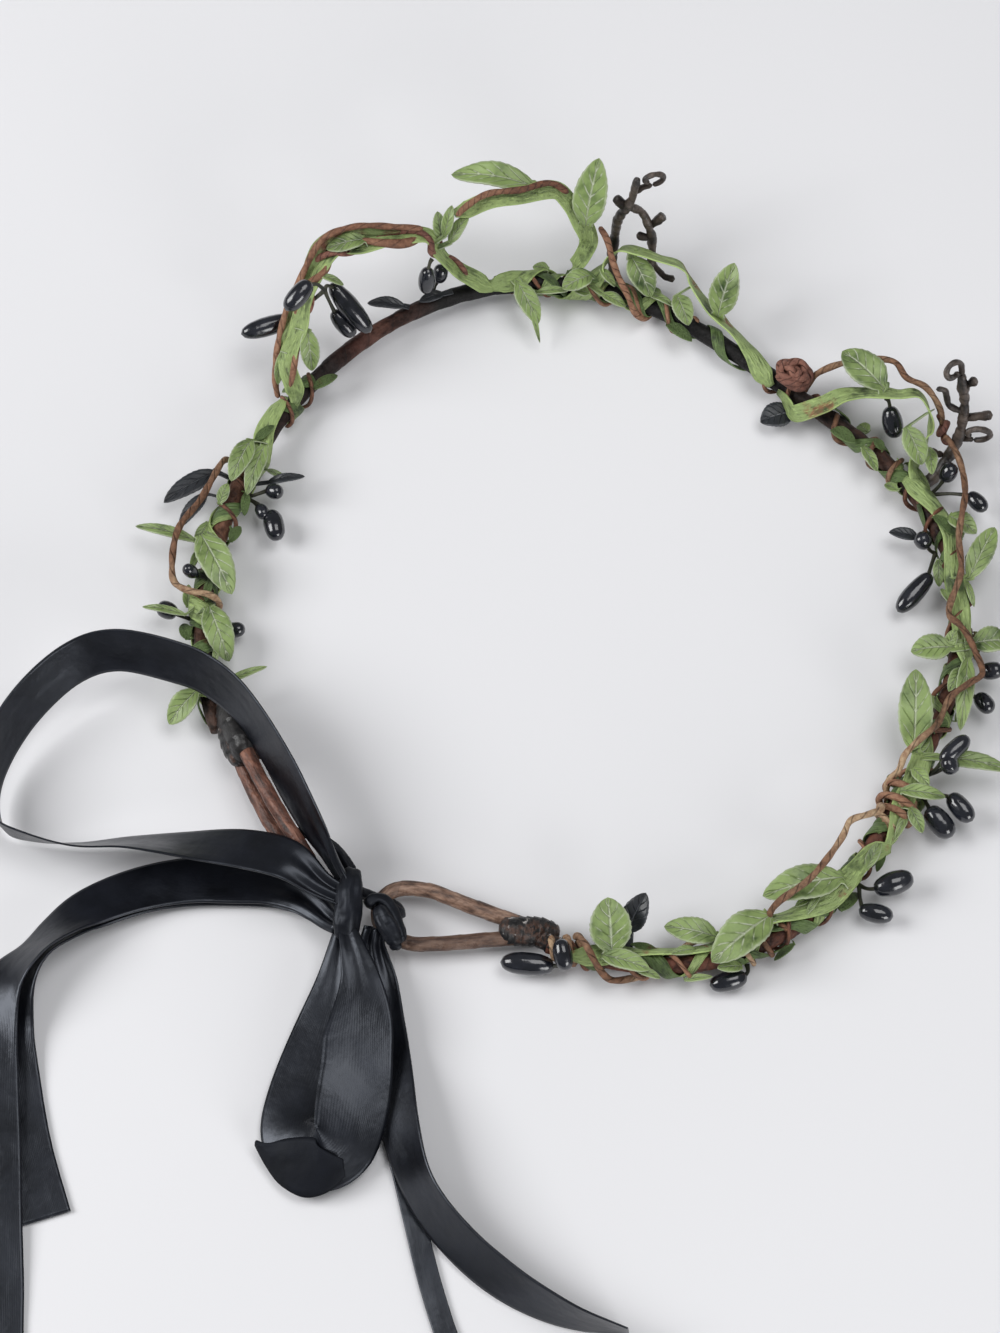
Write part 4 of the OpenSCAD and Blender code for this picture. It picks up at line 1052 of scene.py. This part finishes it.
# how far along a bud, share of its half width
budShape = ((0, 0.02), (0.02, 0.34), (0.06, 0.56), (0.14, 0.76), (0.28, 0.93), (0.44, 1.0), (0.62, 0.99),
            (0.78, 0.89), (0.89, 0.7), (0.96, 0.45), (0.99, 0.22), (1, 0.02))
stemCut = {"radius": 0.62, "waist": 0.18, "rise": 0.4, "intoBud": 0.12}


def budRadius(u):
    for (a, ra), (b, rb) in zip(budShape, budShape[1:]):
        if u <= b:
            return ra + (rb - ra) * (u - a) / (b - a)


def makeSprig(number, root, buds):
    start = place(*root)
    pieces = []
    for n, row in enumerate(buds):
        base, tip, half = place(*row[:3]), place(*row[3:6]), row[6] / 2
        path = freePath([base.lerp(tip, t) / mm for t in (0, 0.33, 0.66, 1)], 22, steps=3)[0]

        def skin(u, v, s):
            dent = 1 + 0.05 * math.cos(2 * math.pi * v + number) + 0.04 * bumps(s, 300)
            return half * budRadius(u) * dent * mm

        pieces.append(addTube("bud", path, 20, skin, budBlack))
        knee = start.lerp(base, 0.5) + (start - place(root[0], 0, 0)).normalized() * stemCut["rise"] * mm
        end = base.lerp(tip, stemCut["intoBud"])
        path = freePath([p / mm for p in (start, knee, end)], 14)[0]

        def stem(u, v, s):
            return (stemCut["radius"] - stemCut["waist"] * math.sin(math.pi * u)) * mm

        pieces.append(addTube("stem", path, 8, stem, stemGreen))
    finishPiece(joinPieces(pieces, f"buds_{number + 1}"), "bud_black", f"bud_sprig_{number + 1}")


for number, (root, buds) in enumerate(sprigs):
    makeSprig(number, root, buds)
print("crown: buds set")

# Antlers: twig rows at, clock, reach, thickness; a curl is two rows it goes on from, its radius,
# thickness and distance
antlers = {
    "left": {
        "twigs": (
            ((32, -20, 3.5, 2.4), (32.5, 15, 10, 2.4), (32.3, 37, 14.5, 2.3), (32, 52, 19.5, 2.2),
             (31, 58, 24, 2.8), (30.3, 60, 27, 2.2), (30, 63, 31, 1.9), (29.7, 64, 34.6, 1.7)),
            ((31, 58, 24, 2.6), (32.7, 60, 26.5, 2.2)),
            ((30.2, 60.5, 29, 1.7), (29, 60, 31, 1.5), (27.7, 58, 32, 1.3)),
            ((26.5, -5, 3.4, 2.2), (26.8, 20, 12.5, 2.2), (27.5, 43, 18.5, 2.2), (28.8, 49, 22.5, 2),
             (30.5, 56, 24, 2.2)),
            ((27.6, 43, 19, 2), (25.8, 47, 23.3, 2.6)),
            ((27.4, 38, 16, 1.5), (29.3, 40, 16, 2)),
            ((26.7, 15, 11, 1.5), (24.5, 10, 9, 1.5), (22.8, 10, 9.4, 2))),
        "curls": (((29, 60, 31), (27.7, 58, 32), 1.9, 1.4, 0.3),)},
    "right": {
        "twigs": (
            ((-29, -35, 3.5, 2.4), (-28.3, -8, 8.5, 2.6), (-26.3, 12, 16, 2.8), (-25.3, 28, 20.5, 2.4),
             (-24.4, 40, 25, 2.2), (-23.6, 49, 29, 2.6), (-23, 53, 32, 1.8)),
            ((-23.7, 48, 28.5, 1.8), (-24.3, 48.5, 32.6, 2.2)),
            ((-24.8, 35, 22.5, 1.8), (-23.6, 43, 22, 1.6), (-22.4, 50, 25, 1.5), (-21.6, 52, 24, 1.3)),
            ((-25.2, 30, 21.5, 2), (-26.8, 27, 27, 2.2)),
            ((-26, 16, 17, 1.6), (-27, 12, 20, 1.4)),
            ((-26.7, 6, 12, 1.5), (-25, 2, 10.6, 2.2))),
        "curls": (((-23.6, 49, 29), (-23, 53, 32), 1.9, 1.5, 2.4),
                  ((-26, 16, 17), (-27, 12, 20), 2.3, 1.5, 0.4))},
}
barkCut = {"tapeWide": 2.6, "tapeStep": 0.12, "curlTurns": 0.9}


def makeAntler(key):
    pieces = []
    for rows in antlers[key]["twigs"]:
        path, long = finePath(rows, 2.2, 12, onHoop=True)

        def bark(u, v, s):
            turn = (u * long / mm / barkCut["tapeWide"] + v) % 1.0
            knob = 0.3 * bumps(s, 420) + 0.16 * bumps(s, 900)
            thick = s["extra"][0] / 2 * (0.98 + barkCut["tapeStep"] * turn + knob)
            return max(0.03, thick * roundTip(u, long, 0.9)) * mm

        pieces.append(addTube("twig", path, 12, bark, antlerTape))
    for before, last, r, thick, rise in antlers[key]["curls"]:
        a, b = place(*before) / mm, place(*last) / mm
        way = (b - a).normalized()
        over = Vector((-way.y, way.x, 0)).normalized()
        out = way.cross(over).normalized() if abs(way.z) < 0.95 else over
        out = -out if out.z < 0 else out
        rows = [b]
        for i in range(17):
            t = 2 * math.pi * barkCut["curlTurns"] * i / 16
            rows.append(b + way * (rise + 0.3 + r * 1.2 * math.sin(t)) + out * r * (1 - math.cos(t))
                        + over * 0.04 * i)
        path, long = freePath(rows, 44, steps=3)

        def coil(u, v, s):
            return thick / 2 * (1 + 0.2 * bumps(s, 700)) * roundTip(u, long, 0.8, 0.4) * mm

        pieces.append(addTube("curl", path, 12, coil, antlerTape))
    finishPiece(joinPieces(pieces, "antlerTwig_" + key), "antler_wrap", "antler_" + key)


for key in antlers:
    makeAntler(key)
print("crown: antlers wound")

# Bow: satin rows x, y, z, lean of the width, share of the width left by the gather
satin = {
    "wide": 12.0,
    "thick": 0.4,
    "stations": 0.9,
    "wave": 0.175,
    "foldedShare": 0.45,
    "cornerLong": 22,
    "largeLoop": (
        (-2.6, 90.2, 11.4, -84, 0.4), (1.6, 88.9, 12.6, -80, 0.5), (6.3, 87, 14.5, -74, 0.7),
        (11.3, 85, 15.8, -68, 0.85), (21.4, 80.5, 16, -66, 1),
        (31.5, 76.1, 17.5, -68, 1), (43.3, 72.3, 18.5, -68, 1),
        (53.1, 71.5, 18.5, -64, 1), (61.5, 73.1, 18, -62, 1),
        (75.5, 78.8, 16.5, -62, 1), (82.5, 87.8, 14.5, -62, 1),
        (84.7, 102.1, 12, -62, 1), (82.7, 114.7, 10, -66, 1),
        (77.8, 123.2, 9, -72, 1), (70.6, 127.2, 8.3, -80, 1),
        (63.3, 125.1, 8, -76, 1), (53.8, 120.2, 8.5, -64, 1),
        (43.8, 112.3, 9.5, -55, 1), (32.9, 105.3, 11, -38, 1),
        (21, 98.8, 13.8, -20, 1), (10.6, 95.2, 15.6, -12, 0.9), (1.8, 94.6, 13.2, -8, 0.55),
        (-3.8, 93.4, 12, -6, 0.42)),
    "smallLoop": (
        (-7.6, 97.4, 8.8, 10, 0.3), (-8.8, 100.4, 7, 10, 0.38), (-13.5, 109.5, 4.6, 8, 0.66),
        (-18.6, 121.7, 3, 8, 1), (-23.3, 134.6, 2.9, 12, 1.08),
        (-27.4, 142.9, 4, 26, 1.04), (-33.9, 146.4, 5, 34, 1),
        (-40, 144, 5.8, 36, 1), (-41.6, 137.5, 6.6, 30, 1.04),
        (-37.8, 129.0, 8, 16, 1.1), (-32.4, 120.6, 9.4, 5, 1.05),
        (-26.1, 112.6, 10, 0, 1), (-19.3, 106.0, 10.4, -4, 0.74), (-12.4, 100.7, 10.6, 0, 0.45),
        (-8, 97.4, 9.8, 0, 0.3)),
    "tailCut": (
        (-7.6, 98.2, 7.6, 0, 0.42), (-3.4, 97.7, 5.6, 0, 0.52), (0.8, 96.9, 4.4, 0, 0.64),
        (6.6, 96.6, 3, 3, 0.8), (13.9, 98.5, 1.6, 5, 0.94),
        (21.0, 103.0, 1.4, 5, 1), (29.4, 109.9, 1.5, 7, 1), (36.4, 118.4, 2, 12, 1),
        (41.7, 128.7, 2.9, 20, 1), (43.6, 137.3, 4.6, 38, 1),
        (44.3, 145.8, 5.4, 48, 1), (42.8, 154.4, 4.4, 34, 1),
        (38.0, 162.6, 2.4, 12, 1), (29.6, 170.7, 1.1, 2, 1), (16.7, 181.4, 0.8, 0, 1),
        (2.6, 191.0, 0.8, 0, 1)),
    "tailLongEnd": (
        (45.6, 155.4, 5.8, 28, 1), (41, 164.4, 4.4, 12, 1),
        (32.8, 174, 3, 3, 1), (21.7, 186, 2.3, 0, 1),
        (10.8, 198.1, 2.2, 0, 1), (0.8, 209.1, 1.3, 0, 1),
        (-6, 217.1, 0.8, 0, 1), (-13.7, 225.8, 0.8, 0, 1)),
    "tailCurved": (
        (-13.6, 93.6, 8, 5, 0.42), (-15.5, 97.2, 6, 5, 0.5), (-21.6, 102.7, 3.8, 8, 0.75),
        (-28.8, 110.6, 3.7, 14, 0.95), (-37.1, 118.3, 4.9, 26, 1),
        (-47.0, 126.6, 6.4, 44, 1), (-57, 134, 7.2, 56, 1), (-66, 138, 7, 58, 1),
        (-77, 140.2, 6.5, 58, 1), (-87.5, 140.5, 6.2, 60, 1),
        (-97, 139.5, 6.4, 70, 1), (-107, 137, 6.8, 85, 1), (-116, 133, 7, 100, 1)),
    "tailNarrow": (
        (-14.6, 99.6, 2.6, 0, 0.42), (-22, 105.6, 1, 0, 0.42),
        (-30, 113.6, 0.8, 0, 0.42), (-40.3, 123.4, 0.8, 0, 0.42),
        (-52.8, 133.0, 0.8, 0, 0.42), (-63.1, 141.2, 0.8, 0, 0.42),
        (-70.0, 146.7, 0.8, 0, 0.42), (-75.6, 150.9, 0.8, 0, 0.42),
        (-83.6, 156.4, 0.8, 0, 0.42), (-92.2, 161.6, 0.8, 0, 0.42)),
}


def acrossWay(way, lean):
    a = math.radians(lean)
    flat = Vector((-way.y, way.x, 0)).normalized()
    return flat * math.cos(a) + Vector((0, 0, math.sin(a)))


def liftedRows(rows, gap):
    out = []
    for i, row in enumerate(rows):
        a, b = rows[max(i - 1, 0)], rows[min(i + 1, len(rows) - 1)]
        way = (Vector(b[:3]) - Vector(a[:3])).normalized()
        p = Vector(row[:3]) + way.cross(acrossWay(way, row[3])) * gap
        out.append((*p, row[3], row[4]))
    return out


def satinPath(rows, count):
    run = smoothRows(rows, 8)
    points = [Vector(r[:3]) * mm for r in run]
    faces = []
    for i in range(len(run)):
        way = (points[min(i + 1, len(points) - 1)] - points[max(i - 1, 0)]).normalized()
        faces.append(way.cross(acrossWay(way, run[i][3])))
    return makePath(points, faces, [r[3:] for r in run], count)


def makeSatin(name, node, rows, held, rests, seed, folded=False, inner=0.0, rucks=(1.2, 2)):
    # inner widens the ribbon's inner half; rucks are the height and number of the gather's folds
    path, long = satinPath(rows, round(satinPath(rows, 8)[1] / mm / satin["stations"]))

    def width(u, v, s):
        fan = inner * min(1.0, max(0.0, min(u, 1 - u) * 8 - 0.8)) if v > 0.5 else 0.0
        return satin["wide"] * s["extra"][1] * (1 + 2 * fan) * mm

    def rise(u, v, s):
        gather = 0.0 if folded else max(0.0, 1 - s["extra"][1])
        ruck = gather * rucks[0] * math.cos(2 * math.pi * rucks[1] * v + seed)
        wave = satin["wave"] * noise.noise(Vector((u * long / mm * 0.09, v * 1.3, seed)))
        cup = 0.5 * (v - 0.5) ** 2 - 0.1
        return (ruck + wave + cup) * mm

    band = addBand(name, path, 16, width, rise, satin["thick"], satinBlack)
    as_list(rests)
    finishPiece(band, "satin_black", node)
    return long


# The corner turned under at the foot of the small loop shows the matt reverse: upper and lower edge x, y, z
turnedCorner = (
    ((-23.6, 148.8, 2.9), (-26.6, 147.6, 4.8), (-29.8, 144.6, 6.8), (-34.4, 141.4, 8.4), (-36.9, 142.3, 8.3),
     (-42.6, 141, 7.2)),
    ((-24, 149.3, 2.4), (-28.6, 151.4, 1.9), (-34.4, 152.9, 1.9), (-40.2, 152, 2.3), (-43.8, 148, 3.4),
     (-44.8, 143.2, 5.2)),
)


def makeTurnedCorner():
    upper, lower = (smoothRows(rows, 6) for rows in turnedCorner)

    def put(i, v):
        bulge = Vector((0, 0, 0.5 * math.sin(math.pi * v) + 0.4 * noise.noise(Vector((i * 0.16, v * 2, 3)))))
        return (Vector(upper[i]).lerp(Vector(lower[i]), v) + bulge + Vector((0, 0, 0.5))) * mm

    corner = thicken(shapeGrid("turnedCorner", len(upper) - 1, 10, put), satin["thick"], offset=-1)
    finishPiece(dress(corner, satinReverse), "satin_black", "bow_loop_small")


longRows = liftedRows(satin["tailCut"][:11], 1.4) + list(satin["tailLongEnd"])
bands = (
    ("Loop", "Large", satin["largeLoop"], "folded", "bow_knot", 1, {}),
    ("Loop", "Small", satin["smallLoop"], "folded", "bow_knot", 4, {"inner": 0.28, "rucks": (0.5, 1.5)}),
    ("Tail", "Cut", satin["tailCut"], "laid", "bow_knot", 7, {}),
    ("Tail", "Long", longRows, "laid", "bow_tail_cut", 9, {}),
    ("Tail", "Curved", satin["tailCurved"], "laid", "bow_hitch", 12, {}),
    ("Tail", "Narrow", satin["tailNarrow"], "laid", "bow_tail_curved", 15, {"folded": True}),
)
lengths = {}
for part, kind, rows, held, rests, seed, extra in bands:
    node = f"bow_{part}_{kind}".lower()
    long = makeSatin(f"satin{part}{kind}", node, rows, held, [rests], seed, **extra)
    lengths[f"{kind} {part}".lower()] = long
makeTurnedCorner()
print("crown: satin lengths, mm", {key: round(value / mm) for key, value in lengths.items()})

# Knot, hitch and tie: wraps x, y, z, radius
wraps = {
    "bow_knot": (
        ((-1, 86.5, 10.5, 2), (-3.5, 90, 11.5, 2.9), (-6.5, 94.5, 11, 3.1), (-8.6, 98.2, 8.8, 2.9),
         (-9.6, 100.6, 7.4, 2.1)),
        ((-1.5, 87, 8.8, 1.5), (6, 84.3, 8.6, 1.3), (13.5, 85.2, 8.7, 1.2), (15.5, 88.5, 8.7, 1.2),
         (13, 93.4, 8.7, 1.2), (7, 94.3, 8.6, 1.3), (-2, 92.5, 9.4, 1.5))),
    "bow_hitch": (
        ((-11.4, 89.4, 10.4, 1.5), (-14, 91.2, 10.3, 2.3), (-17.2, 92.6, 9.6, 2.3), (-20.4, 94.4, 8.4, 1.5)),
        ((-9.2, 91.4, 9.5, 1.6), (-9.8, 88.5, 9.6, 1.7), (-13, 88, 9.2, 1.7), (-17.2, 90.4, 8.8, 1.7),
         (-20.7, 93, 8.4, 1.5)),
        ((-20.7, 93, 8.4, 1.3), (-19.9, 94.2, 8, 1.2), (-18.7, 95, 7.65, 1.1)),
        ((-13, 88, 9.2, 1.4), (-15.2, 86.4, 5, 1.2), (-11.5, 84.5, 1.5, 1.1), (-7, 86, 2, 1.1),
         (-4, 89, 7, 1.5))),
    "end_tie": (
        ((43.6, 75.4, 8.9, 1.1), (40.6, 75, 9.8, 1.2), (36.6, 74.2, 9.8, 1.1), (32.2, 74.6, 9.1, 1)),
        ((43.2, 78, 9.2, 1.1), (39.8, 78.9, 9.6, 1.2), (36, 77.6, 9.6, 1.2), (32.4, 75.4, 9.1, 1))),
}


def makeWraps(node, slotName, material):
    pieces = []
    for rows in wraps[node]:
        path, long = finePath(rows, 2.5, 16)

        def folds(u, v, s):
            a = 2 * math.pi * v
            around = s["face"] * math.cos(a) + s["side"] * math.sin(a)
            crumple = 0.2 * bumps(s, 170, around * 1.3) + 0.08 * bumps(s, 420, around * 3)
            pleats = 0.98 + 0.08 * math.cos(2 * math.pi * (5 * v + 0.9 * u)) + crumple
            return max(0.05, s["extra"][0] * pleats * roundTip(u, long, 1.6)) * mm

        pieces.append(addTube("wrap", path, 30, folds, material))
    finishPiece(joinPieces(pieces, node + "Wrap"), slotName, node)


makeWraps("bow_knot", "satin_black", satinKnot)
makeWraps("bow_hitch", "satin_black", satinKnot)
makeWraps("end_tie", "tape_black", bindingTape)
print("crown: bow tied")


# Plain pale floor and soft studio light; a lamp's row is name, place, size, power
studio = {
    "floorSize": 6,
    "floorTones": ((0.3, (0.72, 0.72, 0.74)), (0.7, (0.76, 0.76, 0.78))),
    "sky": (0.97, 0.98, 1.0, 1),
    "skyPower": 0.19,
    "lamps": (("key", (0.85, 0.72, 0.9), 0.8, 16.0), ("top", (-0.3, -0.35, 1.6), 1.0, 11.0),
              ("fill", (-1.2, 0.4, 0.4), 0.6, 7.0)),
}


def makeStage():
    bpy.ops.mesh.primitive_plane_add(size=studio["floorSize"], location=(0, 0, 0))
    floor = bpy.context.object
    floor.name = "floor"
    p = newPaint("floorPale", 0.7, mapped=False)
    p.paint("Base Color", p.ramp(p.grain(3, 1), *studio["floorTones"]))
    dress(floor, p.made)
    world = bpy.data.worlds.new("studio")
    world.use_nodes = True
    sky = world.node_tree.nodes["Background"]
    sky.inputs[0].default_value = studio["sky"]
    sky.inputs[1].default_value = studio["skyPower"]
    bpy.context.scene.world = world
    for name, spot, size, power in studio["lamps"]:
        bpy.ops.object.light_add(type="AREA", location=spot)
        lamp = bpy.context.object
        lamp.name = name
        lamp.data.size = size
        lamp.data.energy = power
        lamp.rotation_euler = (-Vector(spot)).to_track_quat("-Z", "Y").to_euler()


addCamera()
makeStage()
bpy.context.scene.view_settings.view_transform = "Standard"
print("crown: camera, floor and light set")
